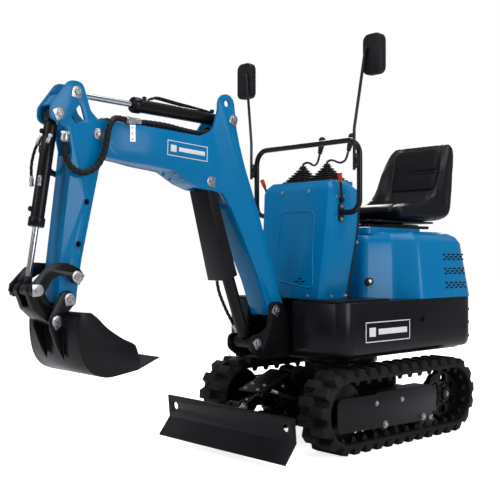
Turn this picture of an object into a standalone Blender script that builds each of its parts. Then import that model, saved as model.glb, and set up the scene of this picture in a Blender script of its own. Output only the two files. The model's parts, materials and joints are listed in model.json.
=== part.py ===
"""Mini excavator on rubber tracks: slewing house with seat and console, boom, stick, bucket and dozer blade.

Units are metres and +Z is up. The machine faces +X and its left side is +Y. Sizes below are measured from
the slew axis on the ground, and the ROOT empty then shifts the whole machine so that the origin lies
under the middle of its overall box. Outlines in the side view are (x, z) pairs.
"""
import math

import bmesh
import bpy
from mathutils import Matrix, Vector

for old in list(bpy.data.objects):
    bpy.data.objects.remove(old, do_unlink=True)

# ---- driving dimensions -------------------------------------------------------------------------
SLEW_X = -0.5262            # slew axis, from the middle of the overall box
TOUCH = 0.0003              # gap between pieces that touch
RUN = 0.0005                # radial gap of a pin in its hole
SIDE = 0.005                # gap beside a moving piece

TRACK_OUTER_Y = 0.44
TRACK_WIDTH = 0.18
TRACK_CARCASS = 0.022
LUG_HEIGHT = 0.031
LUG_COUNT = 33
WHEEL_BASE = 0.818          # idler axle to sprocket axle
IDLER_X = 0.410
WHEEL_Z = 0.195
WHEEL_R = 0.142             # inside of the rubber loop

RING_R = 0.196
RING_Z = 0.372
DECK_Z = 0.430              # underside of the house
DECK_T = 0.014
SKIRT_TOP = 0.700
SKIRT_HALF = 0.41
FLOOR_T = 0.010

PIN_R = 0.0145
EAR_T = 0.012
BOOM_HALF = 0.065
STICK_HALF = 0.055
BUCKET_HALF = 0.19
BLADE_HALF = 0.44
BAR_R = 0.0135              # guard rail tube radius

# ---- pins, in the side view ----------------------------------------------------------------------
BOOM_PIN = (0.549, 0.659)
BOOM_CYL_BASE = (0.670, 0.509)
BOOM_CYL_EYE = (0.942, 1.251)
ARM_CYL_BASE = (0.806, 1.543)
STICK_PIN = (1.526, 1.410)
ARM_CYL_EYE = (1.627, 1.570)
BUCKET_CYL_BASE = (1.705, 1.476)
ROCKER_PIN = (1.646, 0.837)
BUCKET_CYL_EYE = (1.816, 0.788)
BUCKET_PIN = (1.669, 0.750)
COUPLER_PIN = (1.724, 0.664)
BLADE_PIN = (0.360, 0.120)
BLADE_CYL_BASE = (0.373, 0.343)
BLADE_CYL_EYE = (0.722, 0.211)

PAINT_BLUE = ((0.006, 0.125, 0.335, 1), 0.28, 0.0)
PAINT_BLACK = ((0.012, 0.012, 0.014, 1), 0.40, 0.0)
PLASTIC_BLACK = ((0.015, 0.015, 0.017, 1), 0.55, 0.0)
RUBBER = ((0.014, 0.014, 0.015, 1), 0.75, 0.0)
VINYL = ((0.016, 0.016, 0.018, 1), 0.45, 0.0)
CHROME = ((0.75, 0.75, 0.78, 1), 0.12, 1.0)
RED = ((0.72, 0.04, 0.02, 1), 0.4, 0.0)
ENGINE_GREY = ((0.10, 0.10, 0.11, 1), 0.5, 0.6)


# ---- shapes --------------------------------------------------------------------------------------
def rounded(corners, steps=3):
    """Closed outline: each corner is (a, b) or (a, b, radius), and a radius becomes an arc."""
    points = []
    for i, corner in enumerate(corners):
        here = Vector(corner[:2])
        radius = corner[2] if len(corner) > 2 else 0
        if radius == 0:
            points.append(tuple(here))
            continue
        before = Vector(corners[i - 1][:2]) - here
        after = Vector(corners[(i + 1) % len(corners)][:2]) - here
        half = before.angle(after) / 2
        reach = radius / math.tan(half)
        start = here + before.normalized() * reach
        end = here + after.normalized() * reach
        centre = here + (before.normalized() + after.normalized()).normalized() * radius / math.sin(half)
        first = math.atan2(start.y - centre.y, start.x - centre.x)
        last = math.atan2(end.y - centre.y, end.x - centre.x)
        turn = (last - first + math.pi) % (2 * math.pi) - math.pi
        for k in range(steps + 1):
            angle = first + turn * k / steps
            points.append((centre.x + radius * math.cos(angle), centre.y + radius * math.sin(angle)))
    return points


def mesh_object(name, mesh):
    made = bpy.data.objects.new(name, mesh)
    bpy.context.scene.collection.objects.link(made)
    return made


def from_bmesh(shape):
    bmesh.ops.recalc_face_normals(shape, faces=shape.faces)
    mesh = bpy.data.meshes.new("shape")
    shape.to_mesh(mesh)
    shape.free()
    return mesh


def extruded(outline, low, high, place):
    """Mesh of an outline pushed from low to high; place(a, b, t) gives the point."""
    shape = bmesh.new()
    bottom = [shape.verts.new(place(a, b, low)) for a, b in outline]
    top = [shape.verts.new(place(a, b, high)) for a, b in outline]
    shape.faces.new(bottom)
    shape.faces.new(top)
    for i in range(len(outline)):
        j = (i + 1) % len(outline)
        shape.faces.new((bottom[i], bottom[j], top[j], top[i]))
    return from_bmesh(shape)


def side_plate(outline, low, high):
    return extruded(outline, low, high, lambda a, b, t: (a, t, b))


def flat_plate(outline, low, high):
    return extruded(outline, low, high, lambda a, b, t: (a, b, t))


def front_plate(outline, low, high):
    return extruded(outline, low, high, lambda a, b, t: (t, a, b))


def block(x, y, z):
    return side_plate([(x[0], z[0]), (x[1], z[0]), (x[1], z[1]), (x[0], z[1])], y[0], y[1])


def rod(start, end, radius, sides=16, end_radius=None):
    """Round bar or cone between two points."""
    start, end = Vector(start), Vector(end)
    axis = end - start
    turn = axis.to_track_quat("Z", "Y").to_matrix().to_4x4()
    shape = bmesh.new()
    bmesh.ops.create_cone(shape, cap_ends=True, segments=sides, radius1=radius,
                          radius2=radius if end_radius is None else end_radius, depth=axis.length)
    turn.translation = (start + end) / 2
    bmesh.ops.transform(shape, matrix=turn, verts=shape.verts)
    return from_bmesh(shape)


def cross_rod(pin, half, radius, sides=16):
    """Round bar along Y through a pin, centred on the machine's middle."""
    return rod((pin[0], -half, pin[1]), (pin[0], half, pin[1]), radius, sides)


def cross_boss(pin, low, high, radius, sides=16):
    return rod((pin[0], low, pin[1]), (pin[0], high, pin[1]), radius, sides)


def both_sides(make, low, high):
    """A shape between y = low and high, and its twin on the other side."""
    return [make(low, high), make(-high, -low)]


def strip(path, thickness):
    """Outline of sheet metal that follows an open path and is thick on the path's left."""
    inner = []
    for i, point in enumerate(path):
        here = Vector(point)
        ways = []
        if i > 0:
            ways.append((here - Vector(path[i - 1])).normalized())
        if i < len(path) - 1:
            ways.append((Vector(path[i + 1]) - here).normalized())
        normals = [Vector((-way.y, way.x)) for way in ways]
        mean = sum(normals, Vector((0, 0))).normalized()
        inner.append(tuple(here + mean * thickness / mean.dot(normals[0])))
    return list(path) + inner[::-1]


def arc(centre, radius, start, end, steps):
    """Points along an arc, in degrees anticlockwise from the first side-view axis."""
    points = []
    for k in range(steps + 1):
        angle = math.radians(start + (end - start) * k / steps)
        points.append((centre[0] + radius * math.cos(angle), centre[1] + radius * math.sin(angle)))
    return points


def along(start, end):
    """Maps (distance along, offset to the left) of a line between two pins to side-view points."""
    begin = Vector(start)
    way = (Vector(end) - begin).normalized()
    left = Vector((-way.y, way.x))
    return lambda s, t: tuple(begin + way * s + left * t)


def length_of(start, end):
    return (Vector(end) - Vector(start)).length


# ---- pieces --------------------------------------------------------------------------------------
MATERIALS = {}


def material(name, finish):
    if name in MATERIALS:
        return MATERIALS[name]
    colour, rough, metal = finish
    made = bpy.data.materials.new(name)
    made.use_nodes = True
    shader = made.node_tree.nodes["Principled BSDF"]
    shader.inputs["Base Color"].default_value = colour
    shader.inputs["Roughness"].default_value = rough
    shader.inputs["Metallic"].default_value = metal
    MATERIALS[name] = made
    return made


def empty(name, place, parent=None):
    """Pivot at a side-view pin; place holds slew-centred x, y, z."""
    made = bpy.data.objects.new(name, None)
    bpy.context.scene.collection.objects.link(made)
    made.empty_display_size = 0.05
    made.parent = parent
    made["at"] = place
    above = Vector(parent["at"]) if parent else Vector((0, 0, 0))
    made.location = Vector(place) - above
    return made


ROOT = empty("ROOT", (0, 0, 0))
ROOT.location = (SLEW_X, 0, 0)


def pivot(name, pin, parent):
    return empty(name, (pin[0], 0, pin[1]), parent)


def piece(name, finish, parent, shapes, cuts=(), keep=(), pins=(), smooth=35):
    """One solid: the shapes joined, then cut, kept only inside the keep shapes, and given its pins."""
    origin = Vector(parent["at"])
    made = mesh_object(name, shapes[0])
    steps = [(shape, "UNION") for shape in shapes[1:]]
    steps += [(shape, "DIFFERENCE") for shape in cuts]
    steps += [(shape, "INTERSECT") for shape in keep]
    steps += [(shape, "UNION") for shape in pins]
    shapes[0].transform(Matrix.Translation(-origin))
    made.parent = parent
    for number, (shape, operation) in enumerate(steps):
        shape.transform(Matrix.Translation(-origin))
        helper = mesh_object(f"{name}.tool{number}", shape)
        helper.parent = parent
        helper.hide_render = True
        helper.display_type = "WIRE"
        helper.hide_set(True)
        change = made.modifiers.new(operation.lower(), "BOOLEAN")
        change.operation = operation
        change.object = helper
        change.solver = "EXACT"
    made.data.materials.append(material(name, finish))
    made.data.shade_smooth()
    made.data.set_sharp_from_angle(angle=math.radians(smooth))
    return made


def smooth_route(points, per_span=5):
    """Catmull-Rom curve through the points."""
    ends = [points[0] * 2 - points[1]] + points + [points[-1] * 2 - points[-2]]
    route = [points[0]]
    for i in range(len(points) - 1):
        a, b, c, d = ends[i:i + 4]
        for k in range(1, per_span + 1):
            t = k / per_span
            route.append(0.5 * (2 * b + (c - a) * t + (2 * a - 5 * b + 4 * c - d) * t * t
                                + (3 * b - a - 3 * c + d) * t ** 3))
    return route


# ---- undercarriage -------------------------------------------------------------------------------
SPROCKET_X = IDLER_X - WHEEL_BASE
TRACK_MID_Y = TRACK_OUTER_Y - TRACK_WIDTH / 2
FRAME_IN_Y = 0.285
FRAME_OUT_Y = 0.405
COVER_T = 0.006


def loop_outline(radius, steps=14):
    front = arc((IDLER_X, WHEEL_Z), radius, -90, 90, steps)
    back = arc((SPROCKET_X, WHEEL_Z), radius, 90, 270, steps)
    return front + back


def shoe_outline():
    """Outside of the rubber loop, with a trapezoid shoe at every pitch of its run."""
    radius = WHEEL_R + TRACK_CARCASS
    straight = WHEEL_BASE
    turn = math.pi * radius
    around = 2 * (straight + turn)

    def at(distance, height):
        d = distance % around
        r = radius + height
        if d < straight:
            return SPROCKET_X + d, WHEEL_Z - r
        if d < straight + turn:
            angle = -math.pi / 2 + (d - straight) / radius
            return IDLER_X + r * math.cos(angle), WHEEL_Z + r * math.sin(angle)
        if d < 2 * straight + turn:
            return IDLER_X - (d - straight - turn), WHEEL_Z + r
        angle = math.pi / 2 + (d - 2 * straight - turn) / radius
        return SPROCKET_X + r * math.cos(angle), WHEEL_Z + r * math.sin(angle)

    pitch = around / LUG_COUNT
    points = []
    for number in range(LUG_COUNT):
        start = number * pitch
        for share, height in ((0.12, 0), (0.27, LUG_HEIGHT), (0.62, LUG_HEIGHT), (0.78, 0)):
            points.append(at(start + share * pitch, height))
    return points


def track(side, sign):
    low, high = sorted((sign * (TRACK_OUTER_Y - TRACK_WIDTH), sign * TRACK_OUTER_Y))
    piece(f"track_{side}", RUBBER, ROOT, [side_plate(shoe_outline(), low, high)],
          cuts=[side_plate(loop_outline(WHEEL_R), low - 0.01, high + 0.01)])


def wheel(name, sign, x, z, radius, half, hub, notches=0):
    """Idler, roller or sprocket: a rim on a hub, with notches between its teeth."""
    mid = sign * TRACK_MID_Y
    shapes = [cross_boss((x, z), mid - half, mid + half, radius, 28),
              cross_boss((x, z), mid - half - 0.008, mid + half + 0.008, hub, 16)]
    cuts = []
    for k in range(notches):
        angle = 2 * math.pi * (k + 0.5) / notches
        at = (x + radius * math.cos(angle), z + radius * math.sin(angle))
        cuts.append(cross_boss(at, mid - half - 0.01, mid + half + 0.01, 0.019, 10))
    piece(name, PAINT_BLACK, ROOT, shapes, cuts)


ROLLER_R = 0.046
ROLLER_Z = WHEEL_Z - WHEEL_R + ROLLER_R + TOUCH
ROLLERS_X = (0.153, -0.147)
WHEEL_IN_R = WHEEL_R - TOUCH
HUB_R = 0.042


def track_frame(side, sign):
    """Beam inside the loop: axle forks at both ends, two roller axles and a cover plate outside."""
    def y(a, b):
        return tuple(sorted((sign * a, sign * b)))
    mid = TRACK_MID_Y
    beam = block((SPROCKET_X + WHEEL_R + SIDE, IDLER_X - WHEEL_R - SIDE), y(FRAME_IN_Y, FRAME_OUT_Y),
                 (0.150, 0.255))
    outline = rounded([(-0.262, 0.128), (0.455, 0.110), (0.487, 0.140), (0.487, 0.205), (0.455, 0.240),
                       (0.245, 0.240), (0.245, 0.262), (-0.262, 0.262)])
    low, high = y(FRAME_OUT_Y - 0.002, FRAME_OUT_Y + COVER_T + 0.012)
    cover = side_plate(outline, low, high)
    shapes = [beam, cover]
    low, high = y(FRAME_IN_Y, FRAME_IN_Y + 0.012)
    shapes.append(side_plate([(-0.27, 0.150), (0.455, 0.150), (0.487, 0.175), (0.455, 0.240), (-0.27, 0.240)],
                             low, high))
    hub_gap = 0.03 + 0.008 + TOUCH
    for x in ROLLERS_X:
        for low, high in (y(FRAME_IN_Y, mid - hub_gap), y(mid + hub_gap, FRAME_OUT_Y + 0.01)):
            arm = [(x - 0.022, ROLLER_Z - 0.016), (x + 0.022, ROLLER_Z - 0.016), (x + 0.022, 0.18),
                   (x - 0.022, 0.18)]
            shapes.append(side_plate(rounded([(a, b, 0.012) if b < 0.12 else (a, b) for a, b in arm]),
                                     low, high))
    wheel_gap = 0.024 + 0.008 + TOUCH
    for low, high in (y(FRAME_IN_Y, mid - wheel_gap), y(mid + wheel_gap, FRAME_OUT_Y)):
        shapes.append(cross_boss((IDLER_X, WHEEL_Z), low, high, 0.032, 16))
    low, high = y(FRAME_IN_Y - 0.012, mid - wheel_gap)
    shapes.append(side_plate([(SPROCKET_X - 0.03, 0.150), (-0.225, 0.150), (-0.225, 0.240),
                              (SPROCKET_X - 0.03, 0.240)], low, high))
    shapes.append(cross_boss((SPROCKET_X, WHEEL_Z), low, high, 0.070, 24))
    piece(f"track_frame_{side}", PAINT_BLACK, ROOT, shapes)


def undercarriage():
    for side, sign in (("left", 1), ("right", -1)):
        track(side, sign)
        track_frame(side, sign)
        wheel(f"sprocket_{side}", sign, SPROCKET_X, WHEEL_Z, WHEEL_IN_R, 0.024, HUB_R, 9)
        wheel(f"idler_{side}", sign, IDLER_X, WHEEL_Z, WHEEL_IN_R, 0.024, HUB_R)
        for place, x in zip(("front", "rear"), ROLLERS_X):
            wheel(f"roller_{place}_{side}", sign, x, ROLLER_Z, ROLLER_R, 0.03, 0.018)
    car_body()
    ring = [rod((0, 0, RING_Z + TOUCH), (0, 0, RING_Z + 0.026), RING_R, 40)]
    piece("slew_ring", PAINT_BLACK, ROOT, ring)


LUG_OUT = 0.105             # outer face of the blade arm's lugs on the car body
ARM_OUT = LUG_OUT - 0.018 - SIDE
CYL_LUG_IN = 0.032


def car_body():
    """Box between the tracks, with cross beams, the slew seat and the lugs for the blade."""
    beam_y = FRAME_IN_Y - TOUCH
    shapes = [block((-0.26, 0.26), (-0.17, 0.17), (0.135, 0.330)),
              block((-0.22, -0.08), (-beam_y, beam_y), (0.165, 0.245)),
              block((0.06, 0.20), (-beam_y, beam_y), (0.165, 0.245)),
              rod((0, 0, 0.30), (0, 0, RING_Z), RING_R - 0.012, 32)]
    lug = rounded([(0.20, 0.090), (BLADE_PIN[0] + 0.032, 0.090, 0.03), (BLADE_PIN[0] + 0.032, 0.152, 0.03),
                   (0.20, 0.200)])
    shapes += both_sides(lambda a, b: side_plate(lug, a, b), LUG_OUT - 0.018, LUG_OUT)
    base = BLADE_CYL_BASE
    ear = rounded([(0.22, 0.200), (0.30, 0.200), (base[0] + 0.034, base[1] - 0.034, 0.03),
                   (base[0] + 0.034, base[1] + 0.030, 0.03), (base[0] - 0.040, base[1] + 0.030, 0.02),
                   (0.22, 0.325)])
    shapes += both_sides(lambda a, b: side_plate(ear, a, b), CYL_LUG_IN, CYL_LUG_IN + 0.014)
    shapes.append(cross_rod(base, CYL_LUG_IN + 0.02, PIN_R))
    bores = both_sides(lambda a, b: cross_boss(BLADE_PIN, a, b, PIN_R + RUN), LUG_OUT - 0.03, LUG_OUT + 0.01)
    piece("car_body", PAINT_BLACK, ROOT, shapes, bores)


# ---- dozer blade ---------------------------------------------------------------------------------
BLADE_T = 0.010
BLADE_TOP = (0.796, 0.222)
BLADE_FOLD = (0.786, 0.115)
BLADE_FOOT = (0.852, 0.033)
BLADE_HOLE_R = 0.019
BLADE_HOLE = (0.384, 0.174)
BLADE_AT = pivot("blade_axis", BLADE_PIN, ROOT)


def blade():
    sheet = strip([BLADE_FOOT, BLADE_FOLD, BLADE_TOP], BLADE_T)
    y, z = BLADE_HOLE
    holes = [rod((0.70, s * y, z), (0.85, s * y, z), BLADE_HOLE_R) for s in (1, -1)]
    piece("blade", PAINT_BLACK, BLADE_AT, [side_plate(sheet, -BLADE_HALF, BLADE_HALF)], holes)


def blade_arm():
    """Two push bars from the pivot to the blade's back, a cross bar and the cylinder's ears."""
    back = BLADE_FOLD[0] - BLADE_T - 2 * TOUCH
    pin = BLADE_PIN
    bar = rounded([(pin[0] - 0.030, pin[1] - 0.030, 0.028), (back, 0.085), (back, 0.150),
                   (pin[0] - 0.030, pin[1] + 0.034, 0.028)])
    shapes = both_sides(lambda a, b: side_plate(bar, a, b), ARM_OUT - 0.016, ARM_OUT)
    shapes.append(block((0.640, back), (-ARM_OUT - 0.05, ARM_OUT + 0.05), (0.088, 0.148)))
    eye = BLADE_CYL_EYE
    ear = rounded([(0.670, 0.120), (back, 0.120), (back, 0.195), (eye[0] + 0.026, eye[1] + 0.021, 0.018),
                   (eye[0] - 0.021, eye[1] + 0.021, 0.018), (eye[0] - 0.025, eye[1] - 0.02, 0.01)])
    shapes += both_sides(lambda a, b: side_plate(ear, a, b), 0.028, 0.040)
    shapes += both_sides(lambda a, b: cross_boss(BLADE_PIN, a, b, PIN_R), ARM_OUT - 0.02, LUG_OUT + 0.004)
    piece("blade_arm", PAINT_BLACK, BLADE_AT, shapes)


def cylinder(name, start, end, barrel_end, barrel_r, rod_r, eye_half, base_half, parent, eye_r=0.024,
             engaged=0.115):
    """Hydraulic cylinder: a barrel on its base pin, and a rod whose eye meets the far pin."""
    line = along(start, end)
    full = length_of(start, end)

    def at(s):
        x, z = line(s, 0)
        return x, 0, z
    base_at = pivot(f"{name}_axis", start, parent)
    barrel = [rod(at(0.026), at(barrel_end), barrel_r, 20),
              rod(at(barrel_end - 0.035), at(barrel_end + 0.006), barrel_r + 0.003, 20),
              cross_rod(start, base_half, eye_r + 0.004, 18),
              rod(at(0.0), at(0.05), barrel_r * 0.9, 16)]
    hollow = rod(at(0.055), at(barrel_end + 0.05), rod_r + RUN, 16)
    bore = cross_rod(start, base_half + 0.02, PIN_R + RUN)
    piece(f"{name}_barrel", PAINT_BLACK, base_at, barrel, [hollow, bore])
    rod_start = barrel_end - engaged
    rods = [rod(at(rod_start), at(full), rod_r, 16), cross_rod(end, eye_half, eye_r, 18)]
    piece(f"{name}_rod", CHROME, base_at, rods)
    return base_at


def blade_cylinder():
    at = cylinder("blade_cylinder", BLADE_CYL_BASE, BLADE_CYL_EYE, 0.215, 0.026, 0.011, 0.0225, 0.026, ROOT,
                  0.020, 0.075)
    line = along(BLADE_CYL_BASE, BLADE_CYL_EYE)
    plate = [line(0.055, 0.0315), line(0.285, 0.0315), line(0.285, 0.0365), line(0.055, 0.0365)]
    feet = [side_plate([line(s, 0.0263), line(s + 0.03, 0.0263), line(s + 0.03, 0.032), line(s, 0.032)],
                       -0.012, 0.012) for s in (0.07, 0.15)]
    piece("blade_cylinder_cover", PAINT_BLACK, at, [side_plate(plate, -0.07, 0.07)] + feet)


# ---- house ---------------------------------------------------------------------------------------
HOUSE_AT = empty("slew_axis", (0, 0, 0), ROOT)
EAR_IN = BOOM_HALF + SIDE
DECK_TOP = DECK_Z + DECK_T


def house_frame():
    """Deck plate on the slew ring, with the two boom ears and the pins they hold."""
    deck = flat_plate(rounded([(0.46, -0.16), (0.46, 0.16), (0.30, 0.36), (-0.60, 0.36, 0.08),
                               (-0.60, -0.36, 0.08), (0.30, -0.36)]), DECK_Z, DECK_TOP)
    neck = rod((0, 0, RING_Z + 0.026 + TOUCH), (0, 0, DECK_TOP), RING_R - 0.02, 32)
    foot, base = BOOM_PIN, BOOM_CYL_BASE
    ear = rounded([(0.30, DECK_Z), (0.64, DECK_Z), (base[0] + 0.045, base[1] - 0.030, 0.03),
                   (base[0] + 0.045, base[1] + 0.036, 0.03), (base[0] - 0.020, base[1] + 0.045, 0.02),
                   (0.600, 0.580, 0.02), (foot[0] + 0.036, foot[1] + 0.040, 0.03),
                   (foot[0] - 0.036, foot[1] + 0.040, 0.03), (0.46, 0.60, 0.02), (0.40, 0.60), (0.30, 0.52)])
    shapes = [deck, neck]
    shapes += both_sides(lambda a, b: side_plate(ear, a, b), EAR_IN, EAR_IN + EAR_T)
    shapes.append(block((0.33, 0.345), (-EAR_IN - 0.005, EAR_IN + 0.005), (DECK_Z, 0.56)))
    shapes.append(block((0.345, 0.60), (-EAR_IN - 0.005, EAR_IN + 0.005), (DECK_Z, DECK_TOP)))
    shapes.append(cross_rod(foot, EAR_IN + EAR_T + 0.006, PIN_R + 0.003))
    shapes.append(cross_rod(base, EAR_IN + EAR_T + 0.006, PIN_R))
    piece("house_frame", PAINT_BLACK, HOUSE_AT, shapes)


SKIRT_FRONT = 0.47
SKIRT_REAR = -0.770


def skirt_plan(inset=0.0, front=SKIRT_FRONT):
    h = SKIRT_HALF - inset
    return [(front - inset, -0.24), (front - inset, 0.24), (front - 0.045 - inset, h, 0.03),
            (-0.60, h - 0.01, 0.12), (SKIRT_REAR + inset, 0.24, 0.12),
            (SKIRT_REAR + inset, -0.24, 0.12), (-0.60, -h + 0.01, 0.12), (front - 0.045 - inset, -h, 0.03)]


def lower_body():
    """Moulded black skirt round the deck, heavy at the rear as the counterweight, open in front for the boom."""
    outer = flat_plate(rounded(skirt_plan(), 5), DECK_Z + 0.006, SKIRT_TOP)
    deck_room = block((-0.62, 0.60), (-0.37, 0.37), (0.40, DECK_TOP + TOUCH))
    hollow = block((-0.34, 0.40), (-0.34, 0.34), (DECK_TOP, SKIRT_TOP - 0.02))
    mouth = block((0.32, 0.60), (-0.115, 0.115), (0.40, SKIRT_TOP + 0.01))
    engine_hole = block((-0.34, -0.04), (-0.30, 0.30), (SKIRT_TOP - 0.03, SKIRT_TOP + 0.01))
    piece("lower_body", PLASTIC_BLACK, HOUSE_AT, [outer], [deck_room, hollow, mouth, engine_hole])


FLOOR_Z = SKIRT_TOP + TOUCH
CONSOLE_BASE = FLOOR_Z + FLOOR_T + TOUCH


def floor_plate():
    outline = rounded([(0.455, -0.125), (0.455, -0.38, 0.03), (0.075, -0.39), (0.075, 0.39),
                       (0.455, 0.38, 0.03), (0.455, 0.125), (0.315, 0.125), (0.315, -0.125)])
    piece("floor_plate", PLASTIC_BLACK, HOUSE_AT, [flat_plate(outline, FLOOR_Z, FLOOR_Z + FLOOR_T)])


HOOD_TOP = 1.045
HOOD_T = 0.012
SEAT_PAD_Z = 1.066
HOOD_BASE = SKIRT_TOP + TOUCH


def lofted(rings):
    """Mesh through closed rings of equal count, capped at both ends."""
    shape = bmesh.new()
    rows = [[shape.verts.new(p) for p in ring] for ring in rings]
    count = len(rows[0])
    shape.faces.new(rows[0])
    shape.faces.new(rows[-1])
    for low, high in zip(rows, rows[1:]):
        for i in range(count):
            j = (i + 1) % count
            shape.faces.new((low[i], low[j], high[j], high[i]))
    return from_bmesh(shape)


def hood_ring(z, front, half, rear, inset):
    """Hood plan at one height: cut-in front corners, flush sides and rounded rear corners."""
    f, h, r = front - inset, half - inset, rear + inset
    plan = rounded([(f, -0.20, 0.05), (f, 0.20, 0.05), (-0.095, 0.285, 0.06), (-0.175, h, 0.05),
                    (-0.60, h - 0.005, 0.13), (r, 0.26, 0.10), (r, -0.26, 0.10), (-0.60, -h + 0.005, 0.13),
                    (-0.175, -h, 0.05), (-0.095, -0.285, 0.06)], 2)
    return [(x, y, z) for x, y in plan]


def hood_shape(inset, low):
    return lofted([hood_ring(low, 0.055, 0.405, -0.795, inset),
                   hood_ring(0.985 - inset, 0.020, 0.375, -0.728, inset),
                   hood_ring(1.030 - inset, -0.005, 0.335, -0.690, inset),
                   hood_ring(HOOD_TOP - inset, -0.030, 0.290, -0.640, inset)])


def hood():
    pad = flat_plate(rounded([(-0.005, -0.19, 0.03), (-0.005, 0.19, 0.03), (-0.50, 0.17, 0.05),
                              (-0.50, -0.17, 0.05)]), HOOD_TOP - 0.008, SEAT_PAD_Z)
    front_pad = block((-0.04, -0.005), (-0.15, 0.15), (0.98, SEAT_PAD_Z - 0.002))
    piece("hood", PAINT_BLUE, HOUSE_AT, [hood_shape(0, HOOD_BASE), pad, front_pad],
          [hood_shape(HOOD_T, HOOD_BASE - 0.02)])


def engine_block():
    room = block((-0.60, -0.36), (-0.24, 0.24), (SKIRT_TOP + 2 * TOUCH, 0.96))
    piece("engine_block", ENGINE_GREY, HOUSE_AT, [room])


def house():
    house_frame()
    lower_body()
    floor_plate()
    hood()
    engine_block()


# ---- controls ------------------------------------------------------------------------------------
CONSOLE_TOP = 1.288
CONSOLE_HALF = 0.238
BOOT_X = 0.190
BOOT_Y = 0.084


def console():
    """Folded sheet-metal column that leans back, with a bevelled top edge."""
    def ring(z, front, rear, half, cut):
        return [(front - cut, -half, z), (front, -half + cut, z), (front, half - cut, z),
                (front - cut, half, z), (rear, half, z), (rear, -half, z)]
    low = CONSOLE_BASE
    column = lofted([ring(low, 0.404, 0.216, CONSOLE_HALF, 0.022),
                     ring(0.95, 0.366, 0.152, CONSOLE_HALF, 0.022),
                     ring(1.06, 0.348, 0.128, CONSOLE_HALF, 0.022),
                     ring(1.235, 0.333, 0.115, CONSOLE_HALF, 0.015),
                     ring(1.262, 0.324, 0.165, 0.228, 0.014), ring(CONSOLE_TOP, 0.300, 0.200, 0.205, 0.012)])
    top = flat_plate(rounded([(0.302, -0.19), (0.302, 0.19), (0.115, 0.20, 0.02), (0.115, -0.20, 0.02)]),
                     1.20, CONSOLE_TOP)
    piece("console", PAINT_BLUE, HOUSE_AT, [column, top])


def lever_boot(side, sign):
    """Square bellows boot round the foot of a joystick."""
    def square(half, z):
        y = sign * BOOT_Y
        return [(BOOT_X + half, y - half, z), (BOOT_X + half, y + half, z), (BOOT_X - half, y + half, z),
                (BOOT_X - half, y - half, z)]
    rings = [square(0.081, CONSOLE_TOP + TOUCH), square(0.078, CONSOLE_TOP + 0.012)]
    for k in range(5):
        half = 0.070 - 0.010 * k
        z = CONSOLE_TOP + 0.014 + 0.015 * k
        rings += [square(half - 0.012, z), square(half, z + 0.007)]
    rings.append(square(0.016, CONSOLE_TOP + 0.094))
    piece(f"lever_boot_{side}", RUBBER, HOUSE_AT, [lofted(rings)])


def joystick(side, sign):
    """Bent steel lever with a black grip, standing in its boot."""
    y = sign * BOOT_Y
    top = CONSOLE_TOP + 0.094 + TOUCH
    base = Vector((BOOT_X, y, top))
    stem = [base + Vector((0, 0, 0.003)), base + Vector((-0.006, 0, 0.012)), base + Vector((-0.04, 0, 0.022)),
            base + Vector((-0.09, sign * 0.008, 0.012)), base + Vector((-0.125, sign * 0.014, 0.030)),
            base + Vector((-0.145, sign * 0.016, 0.075))]
    route = [base] + smooth_route(stem)
    piece(f"joystick_{side}", PAINT_BLACK, HOUSE_AT, [bar_along(route, 0.0062, 8)])
    foot = Vector(stem[-1]) + Vector((-0.0001, 0, 0.001))
    tip = foot + Vector((-0.030, sign * 0.005, 0.095))
    way = (tip - foot).normalized()
    grip = [rod(foot, foot + way * 0.055, 0.012, 16, 0.0165),
            rod(foot + way * 0.050, foot + way * 0.075, 0.0165, 16, 0.020),
            rod(foot + way * 0.070, foot + way * 0.096, 0.020, 16, 0.014)]
    piece(f"joystick_grip_{side}", PLASTIC_BLACK, HOUSE_AT, grip)


def centre_lever(side, sign):
    """Short rod with a ball knob, between the two joysticks."""
    y = sign * 0.020
    low = Vector((0.286, y, CONSOLE_TOP + TOUCH))
    high = low + Vector((-0.012, 0, 0.055))
    shapes = [bar_along([low, low + Vector((0, 0, 0.004)), high], 0.004, 10),
              rod(low, low + Vector((0, 0, 0.006)), 0.009, 12), ball(high, 0.0105)]
    piece(f"centre_lever_{side}", PLASTIC_BLACK, HOUSE_AT, shapes)


def ball(centre, radius):
    shape = bmesh.new()
    bmesh.ops.create_icosphere(shape, subdivisions=2, radius=radius, matrix=Matrix.Translation(centre))
    return from_bmesh(shape)


def side_lever(side, sign):
    """Small lever on the console's side, with a red tip."""
    y = sign * 0.2435
    near, far = sorted((sign * (CONSOLE_HALF + TOUCH), sign * (CONSOLE_HALF + 0.016)))
    shapes = [cross_boss((0.262, 1.190), near, far, 0.013, 16),
              rod((0.262, y + sign * 0.005, 1.190), (0.292, y + sign * 0.020, 1.275), 0.006, 12)]
    piece(f"side_lever_{side}", PAINT_BLACK, HOUSE_AT, shapes)
    tip = Vector((0.292, y + sign * 0.020, 1.275))
    way = (tip - Vector((0.262, y + sign * 0.005, 1.190))).normalized()
    piece(f"lever_tip_{side}", RED, HOUSE_AT, [rod(tip + way * 0.0004, tip + way * 0.046, 0.0095, 14, 0.0115)])


RAIL_X = 0.262
RAIL_HALF = 0.358
RAIL_TOP = 1.490
RAIL_BEND = 0.075
RAIL_FOOT_Y = CONSOLE_HALF + TOUCH
RAIL_FOOT_Z = 1.128


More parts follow.
